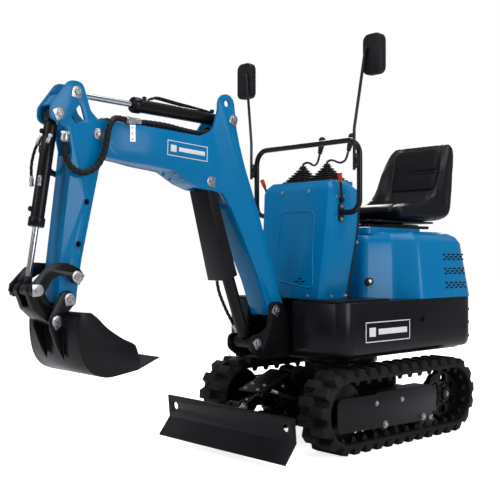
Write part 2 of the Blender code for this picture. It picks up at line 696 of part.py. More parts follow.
def guard_rail():
    """One bent tube over the console, with a bolted flange at each foot."""
    half = []
    low_bend = 0.060
    half.append((RAIL_X, RAIL_FOOT_Y + 0.004, RAIL_FOOT_Z))
    for y, z in arc((RAIL_HALF - low_bend, RAIL_FOOT_Z + low_bend), low_bend, -90, 0, 6):
        half.append((RAIL_X, y, z))
    for y, z in arc((RAIL_HALF - RAIL_BEND, RAIL_TOP - BAR_R - RAIL_BEND), RAIL_BEND, 0, 90, 6):
        half.append((RAIL_X, y, z))
    route = half + [(x, -y, z) for x, y, z in half[::-1]]
    shape = bar_along(route, BAR_R, 10)
    flanges = []
    for sign in (1, -1):
        low, high = sorted((sign * RAIL_FOOT_Y, sign * (RAIL_FOOT_Y + 0.007)))
        flanges.append(side_plate(rounded([(RAIL_X - 0.02, RAIL_FOOT_Z - 0.045, 0.015),
                                           (RAIL_X + 0.02, RAIL_FOOT_Z - 0.045, 0.015),
                                           (RAIL_X + 0.02, RAIL_FOOT_Z + 0.045, 0.015),
                                           (RAIL_X - 0.02, RAIL_FOOT_Z + 0.045, 0.015)]), low, high))
    piece("guard_rail", PAINT_BLACK, HOUSE_AT, [shape] + flanges)


def bar_along(route, radius, sides):
    """Round bar whose section follows a route of points."""
    shape = bmesh.new()
    rows = []
    side = None
    for i, point in enumerate(route):
        here = Vector(point)
        ahead = Vector(route[min(i + 1, len(route) - 1)])
        behind = Vector(route[max(i - 1, 0)])
        way = (ahead - behind).normalized()
        side = (side or way.orthogonal())
        side = (side - way * side.dot(way)).normalized()
        up = way.cross(side)
        ring = []
        for k in range(sides):
            angle = 2 * math.pi * k / sides
            ring.append(shape.verts.new(here + (side * math.cos(angle) + up * math.sin(angle)) * radius))
        rows.append(ring)
    shape.faces.new(rows[0])
    shape.faces.new(rows[-1])
    for low, high in zip(rows, rows[1:]):
        for i in range(sides):
            j = (i + 1) % sides
            shape.faces.new((low[i], low[j], high[j], high[i]))
    return from_bmesh(shape)


MIRROR_Y = 0.443


def mirror(side, sign):
    """Mirror on a bent stem, clamped to the guard rail's post."""
    post = RAIL_HALF * sign
    x = RAIL_X + BAR_R + 0.014
    low = Vector((x + 0.012, post, 1.325))
    high = Vector((x + 0.012, post, 1.520))
    top = Vector((x - 0.004, sign * (MIRROR_Y - 0.030), 1.890))
    stem = bar_along([low, low.lerp(high, 0.5), high, high.lerp(top, 0.06), high.lerp(top, 0.5), top,
                      top + Vector((0, sign * 0.012, 0.006))], 0.0075, 8)
    clamp = block((RAIL_X + BAR_R + TOUCH, x + 0.006), tuple(sorted((post - 0.010, post + 0.010))),
                  (1.335, 1.405))
    piece(f"mirror_stem_{side}", PAINT_BLACK, HOUSE_AT, [stem, clamp])
    y0 = MIRROR_Y - 0.055
    outline = rounded([(y0, 1.770, 0.030), (y0 + 0.112, 1.770, 0.030), (y0 + 0.112, 1.962, 0.035),
                       (y0, 1.962, 0.035)], 4)
    outline = [(sign * y, z) for y, z in outline]
    head = front_plate(outline, x - 0.052, x - 0.004 - 0.0075 - TOUCH)
    piece(f"mirror_head_{side}", PLASTIC_BLACK, HOUSE_AT, [head])


# ---- seat ----------------------------------------------------------------------------------------
SEAT_HALF = 0.245
SLIDE_Z = SEAT_PAD_Z + TOUCH
SEAT_BASE = 1.108


def seat_slide():
    """Two rails on the hood, a cross plate on them and the seat's base plate."""
    shapes = both_sides(lambda a, b: block((-0.60, -0.07), (a, b), (SLIDE_Z, SLIDE_Z + 0.016)), 0.105, 0.135)
    shapes.append(block((-0.50, -0.20), (-0.135, 0.135), (SLIDE_Z + 0.010, SLIDE_Z + 0.022)))
    shapes.append(block((-0.62, -0.10), (-0.150, 0.150), (SLIDE_Z + 0.030, SEAT_BASE - TOUCH)))
    shapes.append(block((-0.46, -0.24), (-0.06, 0.06), (SLIDE_Z + 0.015, SLIDE_Z + 0.034)))
    piece("seat_slide", PAINT_BLACK, HOUSE_AT, shapes)


def seat():
    """One-piece seat: cushion, back and side wings, as one plain closed solid."""
    side = rounded([(-0.235, 1.120, 0.02), (-0.215, 1.185, 0.03), (-0.50, 1.190, 0.05), (-0.600, 1.250, 0.05),
                    (-0.672, 1.500, 0.03), (-0.710, 1.566, 0.02), (-0.750, 1.545, 0.02),
                    (-0.715, 1.280), (-0.680, SEAT_BASE + 0.012, 0.02), (-0.52, SEAT_BASE), (-0.28, SEAT_BASE)])
    wing = rounded([(-0.30, 1.180), (-0.52, 1.290, 0.06), (-0.640, 1.470, 0.04), (-0.700, 1.500, 0.02),
                    (-0.735, 1.480, 0.01), (-0.700, 1.180)])
    shapes = [side_plate(side, -SEAT_HALF + 0.03, SEAT_HALF - 0.03)]
    shapes += both_sides(lambda a, b: side_plate(wing, a, b), SEAT_HALF - 0.045, SEAT_HALF)
    low = rounded([(-0.245, 1.125, 0.02), (-0.235, 1.190, 0.03), (-0.70, 1.200), (-0.680, 1.125)])
    shapes += both_sides(lambda a, b: side_plate(low, a, b), SEAT_HALF - 0.04, SEAT_HALF - 0.003)
    piece("seat", VINYL, HOUSE_AT, shapes)


def controls():
    console()
    guard_rail()
    for side, sign in (("left", 1), ("right", -1)):
        lever_boot(side, sign)
        joystick(side, sign)
        centre_lever(side, sign)
        side_lever(side, sign)
        mirror(side, sign)
    seat_slide()
    seat()


# ---- boom ----------------------------------------------------------------------------------------
BOOM_AT = pivot("boom_axis", BOOM_PIN, HOUSE_AT)
EAR_GAP = 0.053             # half the gap between the boom's inner ears
UNDERSIDE = ((0.872, 1.205), (0.985, 1.216))


def boom():
    """Welded box boom: a cranked leg, a tapered nose and a tall rear ear with the lifting eye."""
    body = rounded([(0.572, 0.633, 0.01), (0.640, 0.800), (0.735, 0.985), (0.812, 1.125, 0.04),
                    (*UNDERSIDE[0], 0.02), (*UNDERSIDE[1], 0.02), (1.060, 1.240, 0.02), (1.150, 1.288, 0.04),
                    (1.390, 1.312), (1.500, 1.326, 0.02), (1.580, 1.370, 0.05), (1.580, 1.450, 0.05),
                    (1.520, 1.474, 0.03), (1.290, 1.464), (1.000, 1.450, 0.06), (0.850, 1.500, 0.06),
                    (0.788, 1.490), (0.732, 1.324), (0.647, 1.119), (0.538, 0.818), (0.491, 0.690, 0.01),
                    (0.515, 0.633, 0.02)])
    ear = rounded([(0.760, 1.400), (1.030, 1.440), (0.930, 1.480, 0.05), (0.898, 1.580, 0.02),
                   (0.895, 1.655, 0.048), (0.806, 1.655, 0.048), (0.786, 1.500)])
    far = rounded([(0.760, 1.400), (1.030, 1.440), (0.930, 1.480, 0.05), (0.860, 1.580, 0.03),
                   (0.790, 1.580, 0.03), (0.780, 1.480)])
    taper = flat_plate([(0.40, -BOOM_HALF), (1.300, -BOOM_HALF), (1.385, -STICK_GAP), (1.640, -STICK_GAP),
                        (1.640, STICK_GAP), (1.385, STICK_GAP), (1.300, BOOM_HALF), (0.40, BOOM_HALF)],
                       0.50, 1.80)
    pocket = rounded([(1.000, 1.150), (1.008, 1.310, 0.03), (0.880, 1.325, 0.03), (0.825, 1.100)])
    eye_room = side_plate(pocket, -0.034, 0.034)
    crown = side_plate(rounded([(0.700, 1.485), (0.840, 1.478, 0.02), (0.985, 1.452), (1.100, 1.60),
                                (0.700, 1.70)]), -EAR_GAP, EAR_GAP)
    shapes = [side_plate(body, -BOOM_HALF, BOOM_HALF), side_plate(ear, EAR_GAP, BOOM_HALF),
              side_plate(far, -BOOM_HALF, -EAR_GAP)]
    cuts = [eye_room, cross_rod(BOOM_PIN, 0.2, PIN_R + 0.003 + RUN), cross_rod(STICK_PIN, 0.2, PIN_R + RUN),
            cross_boss((0.846, 1.612), 0.0, 0.2, 0.0155), crown]
    arm_pin = cross_rod(ARM_CYL_BASE, BOOM_HALF + 0.004, PIN_R)
    piece("boom", PAINT_BLUE, BOOM_AT, shapes, cuts, [taper], [arm_pin])


STICK_GAP = STICK_HALF - EAR_T - 0.002


def boom_guard():
    """Folded channel on the boom's lug, over the front of the cylinder's rod."""
    line = along(BOOM_CYL_EYE, BOOM_CYL_BASE)
    near, far = 0.022, 0.452
    near_out, far_out, skin = 0.029, 0.067, 0.004
    slope = (far_out - near_out) / (far - near)
    outer = [line(near, near_out), line(far, far_out), line(far, -0.006), line(near + 0.035, -0.014),
             line(near, -0.002)]
    inner = [line(near - 0.03, near_out - skin - 0.03 * slope), line(far + 0.03, far_out - skin + 0.03 * slope),
             line(far + 0.03, -0.05), line(near - 0.03, -0.05)]
    (rear_x, rear_z), (front_x, front_z) = UNDERSIDE
    under_boom = side_plate([(0.78, rear_z - TOUCH), (rear_x, rear_z - TOUCH), (front_x, front_z - TOUCH),
                             (1.10, 1.35), (0.78, 1.35)], -0.1, 0.1)
    piece("boom_cylinder_guard", PAINT_BLACK, BOOM_AT,
          [side_plate(outer, -BOOM_HALF, BOOM_HALF)],
          [side_plate(inner, -BOOM_HALF + skin, BOOM_HALF - skin), under_boom])


# ---- stick ---------------------------------------------------------------------------------------
STICK_AT = pivot("stick_axis", STICK_PIN, BOOM_AT)


def stick():
    """Two cheek plates joined by a box below the boom's nose and a web between the upper pins."""
    cheek = rounded([(1.6325, 0.715, 0.028), (1.709, 0.715, 0.030), (1.703, 0.886), (1.688, 0.999),
                     (1.660, 1.225), (1.648, 1.335, 0.05), (1.668, 1.425, 0.05), (1.745, 1.452, 0.030),
                     (1.742, 1.505, 0.034), (1.660, 1.612, 0.034), (1.600, 1.612, 0.034),
                     (1.562, 1.500, 0.04), (1.495, 1.440, 0.030), (1.508, 1.300), (1.524, 1.265),
                     (1.605, 0.905), (1.625, 0.780)])
    window = rounded([(1.588, 1.462, 0.008), (1.630, 1.440, 0.012), (1.655, 1.470, 0.012), (1.608, 1.527, 0.008)])
    box = rounded([(1.6325, 0.715, 0.028), (1.709, 0.715, 0.030), (1.703, 0.886), (1.688, 0.999),
                   (1.660, 1.225), (1.650, 1.320), (1.600, 1.292), (1.5215, 1.275), (1.605, 0.905),
                   (1.625, 0.780)])
    web = along(BUCKET_CYL_BASE, ARM_CYL_EYE)
    plate = [web(0.040, -0.030), web(0.070, -0.030), web(0.070, -0.016), web(0.040, -0.016)]
    h, g = STICK_HALF, STICK_HALF - EAR_T
    shapes = both_sides(lambda a, b: side_plate(cheek, a, b), g, h)
    shapes.insert(0, side_plate(box, -h, h))
    shapes.append(side_plate(plate, -g - 0.004, g + 0.004))
    shapes.append(cross_rod(STICK_PIN, h, PIN_R))
    shapes.append(cross_rod(BUCKET_CYL_BASE, h, PIN_R))
    shapes += both_sides(lambda a, b: cross_boss(ROCKER_PIN, a, b, 0.026), h - 0.002, ROCKER_IN - SIDE / 5)
    bores = [cross_rod(ROCKER_PIN, 0.2, PIN_R + RUN), cross_rod(BUCKET_PIN, 0.2, PIN_R + RUN),
             side_plate(window, -0.2, 0.2)]
    for hole in ((1.583, 1.134), (1.621, 0.965)):
        shapes += both_sides(lambda a, b: cross_boss(hole, a, b, 0.016, 16), h - 0.002, h + 0.003)
        bores.append(cross_rod(hole, 0.2, 0.0085, 12))
    piece("stick", PAINT_BLUE, STICK_AT, shapes, bores)


ROCKER_IN = 0.0755
ROCKER_T = 0.013
EAR_OUT = 0.071             # outer face of the bucket's ears


def rocker_link():
    """Two crescent arms on the stick's lower boss, with stub pins at their outer end."""
    a, b = ROCKER_PIN, BUCKET_CYL_EYE
    line = along(a, b)
    far = length_of(a, b)
    outer = [line(s, t) for s, t in ((-0.030, 0.004), (-0.022, 0.024), (0.020, 0.060), (0.070, 0.078),
                                     (0.120, 0.070), (far + 0.020, 0.028), (far + 0.032, 0.004),
                                     (far + 0.020, -0.024), (far - 0.012, -0.028), (far - 0.036, -0.010),
                                     (0.110, 0.020), (0.070, 0.028), (0.038, 0.012), (0.024, -0.018),
                                     (0.0, -0.030), (-0.022, -0.020))]
    at = pivot("rocker_axis", a, STICK_AT)
    shapes = both_sides(lambda p, q: side_plate(outer, p, q), ROCKER_IN, ROCKER_IN + ROCKER_T)
    shapes.append(cross_rod(a, ROCKER_IN + ROCKER_T + 0.004, PIN_R))
    stub_end = ROCKER_IN + ROCKER_T + 0.004
    shapes += both_sides(lambda p, q: cross_boss(b, p, q, PIN_R - 0.002), 0.0275, stub_end)
    piece("rocker_link", PAINT_BLACK, at, shapes)
    return at


def coupler_link(parent):
    """Broad curved link from the rocker's outer end down to the bucket's ears."""
    b, c = BUCKET_CYL_EYE, COUPLER_PIN
    line = along(b, c)
    far = length_of(b, c)
    outer = [line(s, t) for s, t in ((-0.027, 0.008), (-0.018, -0.022), (0.010, -0.030), (0.070, -0.026),
                                     (far - 0.030, -0.022), (far - 0.006, -0.018), (far + 0.012, -0.014),
                                     (far + 0.019, 0.0), (far + 0.013, 0.014), (far - 0.004, 0.020),
                                     (0.110, 0.034), (0.060, 0.044), (0.012, 0.030), (-0.018, 0.024))]
    at = pivot("coupler_axis", b, parent)
    half = EAR_OUT - EAR_T - SIDE
    body = side_plate(outer, -half, half)
    tubes = cross_rod(b, ROCKER_IN - SIDE / 2, 0.027)
    slot = side_plate(rounded([line(-0.10, -0.10), line(0.052, -0.10), line(0.052, 0.10), line(-0.10, 0.10)]),
                      -0.026, 0.026)
    piece("coupler_link", PAINT_BLACK, at, [body, tubes], [slot, cross_rod(b, 0.2, PIN_R - 0.002 + RUN)])


BUCKET_PLATE = 0.008


def bucket():
    """Round-backed digging bucket without teeth: shell, two side plates and two hanger ears."""
    at = pivot("bucket_axis", BUCKET_PIN, STICK_AT)
    back = [(1.668, 0.704), (1.690, 0.700), (1.701, 0.655), (1.699, 0.590), (1.684, 0.522), (1.653, 0.477),
            (1.612, 0.454), (1.566, 0.444), (1.515, 0.449), (1.426, 0.462), (1.319, 0.504)]
    shell = strip(back[::-1], BUCKET_PLATE)
    side = [(1.668, 0.704), (1.690, 0.700), (1.701, 0.655), (1.699, 0.590), (1.684, 0.522), (1.653, 0.477),
            (1.612, 0.454), (1.566, 0.444), (1.515, 0.449), (1.426, 0.462), (1.416, 0.503), (1.433, 0.550),
            (1.446, 0.568), (1.504, 0.594), (1.570, 0.636), (1.614, 0.676), (1.640, 0.702)]
    ear = rounded([(1.640, 0.735, 0.02), (1.655, 0.783, 0.024), (1.700, 0.778, 0.024), (1.758, 0.680, 0.022),
                   (1.752, 0.636, 0.020), (1.722, 0.560), (1.697, 0.520), (1.692, 0.560), (1.696, 0.640),
                   (1.690, 0.696), (1.668, 0.704)])
    shapes = [side_plate(shell, -BUCKET_HALF, BUCKET_HALF)]
    shapes += both_sides(lambda a, b: side_plate(side, a, b), BUCKET_HALF - BUCKET_PLATE, BUCKET_HALF)
    shapes += both_sides(lambda a, b: side_plate(ear, a, b), EAR_OUT - EAR_T, EAR_OUT)
    shapes.append(cross_rod(BUCKET_PIN, EAR_OUT + 0.002, PIN_R))
    piece("bucket", PAINT_BLACK, at, shapes)


def working_arm():
    boom()
    boom_guard()
    cylinder("boom_cylinder", BOOM_CYL_BASE, BOOM_CYL_EYE, 0.455, 0.029, 0.0125, 0.026, 0.060, HOUSE_AT)
    cylinder("arm_cylinder", ARM_CYL_BASE, ARM_CYL_EYE, 0.512, 0.029, 0.0125, 0.026, 0.046, BOOM_AT)
    stick()
    cylinder("bucket_cylinder", BUCKET_CYL_BASE, BUCKET_CYL_EYE, 0.445, 0.027, 0.012, 0.0215, 0.038,
             STICK_AT)
    rocker = rocker_link()
    coupler_link(rocker)
    bucket()


undercarriage()
blade()
blade_arm()
blade_cylinder()
house()
controls()
working_arm()
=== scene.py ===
import json
import math

import bmesh
import bpy
from mathutils import Matrix, Vector
from mathutils.bvhtree import BVHTree


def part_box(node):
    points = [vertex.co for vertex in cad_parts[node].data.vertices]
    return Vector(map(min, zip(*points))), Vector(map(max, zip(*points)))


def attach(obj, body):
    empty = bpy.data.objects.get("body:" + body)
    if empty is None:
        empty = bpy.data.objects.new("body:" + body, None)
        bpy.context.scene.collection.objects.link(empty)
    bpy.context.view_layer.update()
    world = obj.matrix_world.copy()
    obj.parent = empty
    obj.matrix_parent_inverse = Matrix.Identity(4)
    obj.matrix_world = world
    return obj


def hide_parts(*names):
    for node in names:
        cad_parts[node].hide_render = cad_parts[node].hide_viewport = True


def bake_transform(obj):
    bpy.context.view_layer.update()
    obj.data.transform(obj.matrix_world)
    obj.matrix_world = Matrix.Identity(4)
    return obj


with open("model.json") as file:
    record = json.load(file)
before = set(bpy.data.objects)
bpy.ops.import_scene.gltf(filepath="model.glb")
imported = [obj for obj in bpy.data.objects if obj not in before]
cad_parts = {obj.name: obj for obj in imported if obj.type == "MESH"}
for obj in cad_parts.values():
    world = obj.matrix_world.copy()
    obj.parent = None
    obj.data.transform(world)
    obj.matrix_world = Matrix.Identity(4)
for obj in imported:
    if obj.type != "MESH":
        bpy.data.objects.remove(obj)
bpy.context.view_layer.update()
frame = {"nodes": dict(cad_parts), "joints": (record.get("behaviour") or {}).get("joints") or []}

# ---- Ground, light and camera --------------------------------------------------------------------
# The machine stands on a wide pale studio floor. Three broad soft lamps and a bright sky light it,
# and the camera looks at its left front corner from a little under half its height.
joints = {joint["name"]: joint for joint in frame["joints"]}
slew = Vector(joints["slew"]["pos_m"])


def from_slew(x, y, z):
    """A place measured from the point on the ground under the slew axis."""
    return Vector((slew.x + x, y, z))


eye = bpy.data.cameras.new("camera")
eye.lens = 63.1
eye.sensor_width = 36
eye.clip_end = 200
camera = bpy.data.objects.new("camera", eye)
bpy.context.scene.collection.objects.link(camera)
camera.location = from_slew(3.478, 3.067, 0.922)
camera.rotation_euler = Vector((-0.6789, -0.7343, 0.0057)).to_track_quat("-Z", "Y").to_euler()
bpy.context.scene.camera = camera
bpy.context.scene.view_settings.view_transform = "Standard"


def soft_lamp(name, place, aim, size, power):
    """Broad rectangular lamp at a place, turned towards its aim."""
    light = bpy.data.lights.new(name, "AREA")
    light.shape = "RECTANGLE"
    light.size, light.size_y = size
    light.energy = power
    lamp = bpy.data.objects.new(name, light)
    bpy.context.scene.collection.objects.link(lamp)
    lamp.location = place
    lamp.rotation_euler = (Vector(aim) - Vector(place)).to_track_quat("-Z", "Y").to_euler()


soft_lamp("lamp_above_left", (4.4, -0.2, 3.2), (0, 0, 0.8), (2.2, 2.6), 48)
soft_lamp("lamp_camera_right", (-0.1, 5.0, 2.4), (-0.3, 0, 0.7), (2.0, 2.6), 86)
soft_lamp("lamp_behind", (-3.6, -2.4, 3.4), (0, 0, 0.9), (2.4, 2.0), 130)
soft_lamp("lamp_overhead", (0.2, 0.4, 5.0), (0, 0, 0.8), (3.2, 3.2), 105)

# The sky looks white, but lights the machine with less than that so that its blacks stay deep, and in
# soft bands so that the chrome has light and dark to mirror.
sky = bpy.data.worlds.new("studio")
sky.use_nodes = True
sky_nodes, sky_links = sky.node_tree.nodes, sky.node_tree.links
glow = sky_nodes["Background"]
glow.inputs["Color"].default_value = (0.93, 0.96, 1.0, 1)
around = sky_nodes.new("ShaderNodeTexCoord")
bands = sky_nodes.new("ShaderNodeTexWave")
bands.bands_direction = "DIAGONAL"
bands.inputs["Scale"].default_value = 0.9
bands.inputs["Distortion"].default_value = 1.5
bands.inputs["Detail"].default_value = 0.0
level = sky_nodes.new("ShaderNodeMapRange")
level.inputs["To Min"].default_value = 0.06
level.inputs["To Max"].default_value = 0.62
sky_links.new(around.outputs["Generated"], bands.inputs["Vector"])
sky_links.new(bands.outputs["Fac"], level.inputs["Value"])
sky_links.new(level.outputs["Result"], glow.inputs["Strength"])
seen = sky_nodes.new("ShaderNodeBackground")
seen.inputs["Color"].default_value = (1, 1, 1, 1)
seen.inputs["Strength"].default_value = 1.0
ray = sky_nodes.new("ShaderNodeLightPath")
either = sky_nodes.new("ShaderNodeMixShader")
sky_links.new(ray.outputs["Is Camera Ray"], either.inputs["Fac"])
sky_links.new(glow.outputs["Background"], either.inputs[1])
sky_links.new(seen.outputs["Background"], either.inputs[2])
sky_links.new(either.outputs["Shader"], sky_nodes["World Output"].inputs["Surface"])
bpy.context.scene.world = sky

floor_mesh = bpy.data.meshes.new("studio_floor")
floor_reach = 30
floor_mesh.from_pydata([(-floor_reach, -floor_reach, 0), (floor_reach, -floor_reach, 0),
                        (floor_reach, floor_reach, 0), (-floor_reach, floor_reach, 0)], [], [(0, 1, 2, 3)])
studio_floor = bpy.data.objects.new("studio_floor", floor_mesh)
bpy.context.scene.collection.objects.link(studio_floor)
floor_paint = bpy.data.materials.new("studio_floor_paint")
floor_paint.use_nodes = True
floor_nodes, floor_links = floor_paint.node_tree.nodes, floor_paint.node_tree.links
floor_shader = floor_nodes["Principled BSDF"]
floor_shader.inputs["Roughness"].default_value = 0.8
floor_shader.inputs["Specular IOR Level"].default_value = 0.2
floor_shader.inputs["Emission Color"].default_value = (1, 1, 1, 1)
mottle = floor_nodes.new("ShaderNodeTexNoise")
mottle.inputs["Scale"].default_value = 2.5
shade = floor_nodes.new("ShaderNodeValToRGB")
shade.color_ramp.elements[0].color = (0.80, 0.80, 0.81, 1)
shade.color_ramp.elements[1].color = (0.84, 0.84, 0.85, 1)
floor_links.new(mottle.outputs["Fac"], shade.inputs["Fac"])
floor_links.new(shade.outputs["Color"], floor_shader.inputs["Base Color"])
floor_ray = floor_nodes.new("ShaderNodeLightPath")
lift = floor_nodes.new("ShaderNodeMath")
lift.operation = "MULTIPLY"
lift.inputs[1].default_value = 0.80
floor_links.new(floor_ray.outputs["Is Camera Ray"], lift.inputs[0])
floor_links.new(lift.outputs["Value"], floor_shader.inputs["Emission Strength"])
floor_mesh.materials.append(floor_paint)

# ---- Rubber tracks -------------------------------------------------------------------------------
# Each track is one endless moulded rubber belt: a flat carcass, two staggered rows of wedge lugs
# outside, and pairs of guide horns inside that keep it on the rollers.


def finish(name, colour, rough, metal=0.0, coat=0.0, cloud=0.12, cloud_size=6.0, grain=0.12, grain_size=500.0,
           grain_depth=0.0004, edge=0.0012, shine=0.20):
    """Surface with a cloudy colour and gloss, a fine grain, and edges that catch the light."""
    made = bpy.data.materials.new(name)
    made.use_nodes = True
    nodes, links = made.node_tree.nodes, made.node_tree.links
    shader = nodes["Principled BSDF"]
    shader.inputs["Metallic"].default_value = metal
    shader.inputs["Coat Weight"].default_value = coat
    shader.inputs["Coat Roughness"].default_value = 0.12
    shader.inputs["Specular IOR Level"].default_value = shine
    place = nodes.new("ShaderNodeTexCoord")
    clouds = nodes.new("ShaderNodeTexNoise")
    clouds.inputs["Scale"].default_value = cloud_size
    clouds.inputs["Detail"].default_value = 8
    clouds.inputs["Roughness"].default_value = 0.62
    links.new(place.outputs["Object"], clouds.inputs["Vector"])
    blend = nodes.new("ShaderNodeValToRGB")
    blend.color_ramp.elements[0].position = 0.3
    blend.color_ramp.elements[1].position = 0.7
    blend.color_ramp.elements[0].color = tuple(c * (1 - cloud) for c in colour) + (1,)
    blend.color_ramp.elements[1].color = tuple(min(1, c * (1 + cloud)) for c in colour) + (1,)
    links.new(clouds.outputs["Fac"], blend.inputs["Fac"])
    links.new(blend.outputs["Color"], shader.inputs["Base Color"])
    gloss = nodes.new("ShaderNodeMapRange")
    gloss.inputs["From Min"].default_value = 0.3
    gloss.inputs["From Max"].default_value = 0.7
    gloss.inputs["To Min"].default_value = rough * 0.88
    gloss.inputs["To Max"].default_value = min(1, rough * 1.12)
    links.new(clouds.outputs["Fac"], gloss.inputs["Value"])
    links.new(gloss.outputs["Result"], shader.inputs["Roughness"])
    speckle = nodes.new("ShaderNodeTexNoise")
    speckle.inputs["Scale"].default_value = grain_size
    speckle.inputs["Detail"].default_value = 3
    links.new(place.outputs["Object"], speckle.inputs["Vector"])
    softened = nodes.new("ShaderNodeBevel")
    softened.samples = 4
    softened.inputs["Radius"].default_value = edge
    raised = nodes.new("ShaderNodeBump")
    raised.inputs["Strength"].default_value = grain
    raised.inputs["Distance"].default_value = grain_depth
    links.new(speckle.outputs["Fac"], raised.inputs["Height"])
    links.new(softened.outputs["Normal"], raised.inputs["Normal"])
    links.new(raised.outputs["Normal"], shader.inputs["Normal"])
    return made


def placed(name, mesh, material, body, slot, *nodes):
    """Puts a finished mesh on its body with its material, in place of the plain nodes it stands for."""
    made = bpy.data.objects.new(name, mesh)
    bpy.context.scene.collection.objects.link(made)
    mesh.materials.clear()
    mesh.materials.append(material)
    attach(made, body)
    if nodes:
        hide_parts(*nodes)
    return made


def mesh_from(shape, name, smooth=40):
    """Mesh from a bmesh, faces outwards, smooth up to an angle in degrees."""
    bmesh.ops.recalc_face_normals(shape, faces=shape.faces)
    mesh = bpy.data.meshes.new(name)
    shape.to_mesh(mesh)
    shape.free()
    mesh.shade_smooth()
    mesh.set_sharp_from_angle(angle=math.radians(smooth))
    return mesh


track_rubber = finish("track_rubber", (0.008, 0.008, 0.009), 0.58, cloud=0.25, cloud_size=14, grain=0.5,
                      grain_size=260, grain_depth=0.0006, edge=0.002)
lugs_round_track = 33
carcass_thickness = 0.022
lug_base, lug_top = 0.062, 0.036
lug_side_slope = 0.014
horn_height = 0.024
horn_y = 0.049
lug_inner_end = -0.012      # the two rows of lugs overlap this far past the middle
lug_lean = 0.004

idler_low, idler_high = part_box("idler_left")
wheel_radius = (idler_high.z - idler_low.z) / 2


def belt_place(track_low, track_high):
    """Maps distance along the belt, and height above its inside, to x and z."""
    outside = (track_high.z - track_low.z) / 2
    middle_z = (track_high.z + track_low.z) / 2
    rear, front = track_low.x + outside, track_high.x - outside
    straight = front - rear
    pitch_radius = wheel_radius + carcass_thickness
    turn = math.pi * pitch_radius
    around = 2 * (straight + turn)

    def place(distance, height):
        d = distance % around
        r = wheel_radius + height
        if d < straight:
            return rear + d, middle_z - r
        if d < straight + turn:
            angle = -math.pi / 2 + (d - straight) / pitch_radius
            return front + r * math.cos(angle), middle_z + r * math.sin(angle)
        if d < 2 * straight + turn:
            return front - (d - straight - turn), middle_z + r
        angle = math.pi / 2 + (d - 2 * straight - turn) / pitch_radius
        return rear + r * math.cos(angle), middle_z + r * math.sin(angle)

    return place, around, outside - wheel_radius


def wedge(shape, s, y, base, top, lean=0.0, soft=0.003):
    """Tapered block on the flat belt: base and top are (length, low y, high y, height)."""
    lower = [(s - base[0] / 2, base[1]), (s + base[0] / 2, base[1]), (s + base[0] / 2, base[2]),
             (s - base[0] / 2, base[2])]
    upper = [(s + lean - top[0] / 2, top[1]), (s + lean + top[0] / 2, top[1]),
             (s + lean + top[0] / 2, top[2]), (s + lean - top[0] / 2, top[2])]
    low = [shape.verts.new((a, y + b, base[3])) for a, b in lower]
    high = [shape.verts.new((a, y + b, top[3])) for a, b in upper]
    faces = [shape.faces.new(low[::-1]), shape.faces.new(high)]
    for i in range(4):
        j = (i + 1) % 4
        faces.append(shape.faces.new((low[i], low[j], high[j], high[i])))
    edges = list({e for v in high for e in v.link_edges})
    bmesh.ops.bevel(shape, geom=edges, offset=soft, segments=2, affect="EDGES", profile=0.6)


def rubber_track(side):
    """One belt: the carcass and its lugs are laid out flat, then wrapped round the wheels."""
    low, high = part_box(f"track_{side}")
    place, around, depth = belt_place(low, high)
    middle = (low.y + high.y) / 2
    half = (high.y - low.y) / 2
    outward = 1 if middle > 0 else -1
    pitch = around / lugs_round_track
    shape = bmesh.new()
    section = [(-half, 0.006), (-half + 0.006, 0.0), (half - 0.006, 0.0), (half, 0.006),
               (half, carcass_thickness - 0.008), (half - 0.010, carcass_thickness),
               (-half + 0.010, carcass_thickness), (-half, carcass_thickness - 0.008)]
    steps = lugs_round_track * 5
    rings = [[shape.verts.new((k * around / steps, middle + y, h)) for y, h in section] for k in range(steps)]
    for k in range(steps):
        here, after = rings[k], rings[(k + 1) % steps]
        for i in range(len(section)):
            j = (i + 1) % len(section)
            shape.faces.new((here[i], here[j], after[j], after[i]))
    for number in range(lugs_round_track):
        for row in (outward, -outward):
            s = (number + (0.5 if row == outward else 0.0)) * pitch
            ends = sorted((row * lug_inner_end, row * half))
            tops = sorted((row * (lug_inner_end + 0.008), row * (half - lug_side_slope)))
            wedge(shape, s, middle, (lug_base, *ends, carcass_thickness - 0.006),
                  (lug_top, *tops, depth), lug_lean * row)
        for y in (-horn_y, horn_y):
            wedge(shape, (number + 0.5) * pitch, middle + y, (0.040, -0.007, 0.007, 0.003),
                  (0.018, -0.004, 0.004, -horn_height), soft=0.0015)
    for vertex in shape.verts:
        s, y, h = vertex.co
        x, z = place(s, h)
        vertex.co = (x, y, z)
    name = f"rubber_track_{side}"
    placed(name, mesh_from(shape, name, 35), track_rubber, "undercarriage", "rubber", f"track_{side}")


for side in ("left", "right"):
    rubber_track(side)

# ---- Track wheels, frames and car body -----------------------------------------------------------
# Cast and flame-cut steel under black paint. The sprocket has teeth, round lightening holes and a bolted
# hub; the frames are welded boxes with a folded cover plate screwed on outside.
frame_black = finish("black_chassis_paint", (0.005, 0.005, 0.006), 0.28, coat=0.0, cloud=0.2, grain=0.18,
                     grain_size=320, grain_depth=0.0005, edge=0.0018)
plate_black = finish("black_powder_coat", (0.006, 0.006, 0.008), 0.32, coat=0.0, cloud=0.12, grain=0.3,
                     grain_size=700, grain_depth=0.0003, edge=0.0015)
zinc = finish("zinc_plating", (0.42, 0.42, 0.44), 0.34, metal=1.0, cloud=0.12, cloud_size=60, grain=0.15,
              grain_size=900, edge=0.0008)


def evaluated_copy(holder):
    """Mesh of an object with its modifiers applied."""
    return bpy.data.meshes.new_from_object(holder.evaluated_get(bpy.context.evaluated_depsgraph_get()))


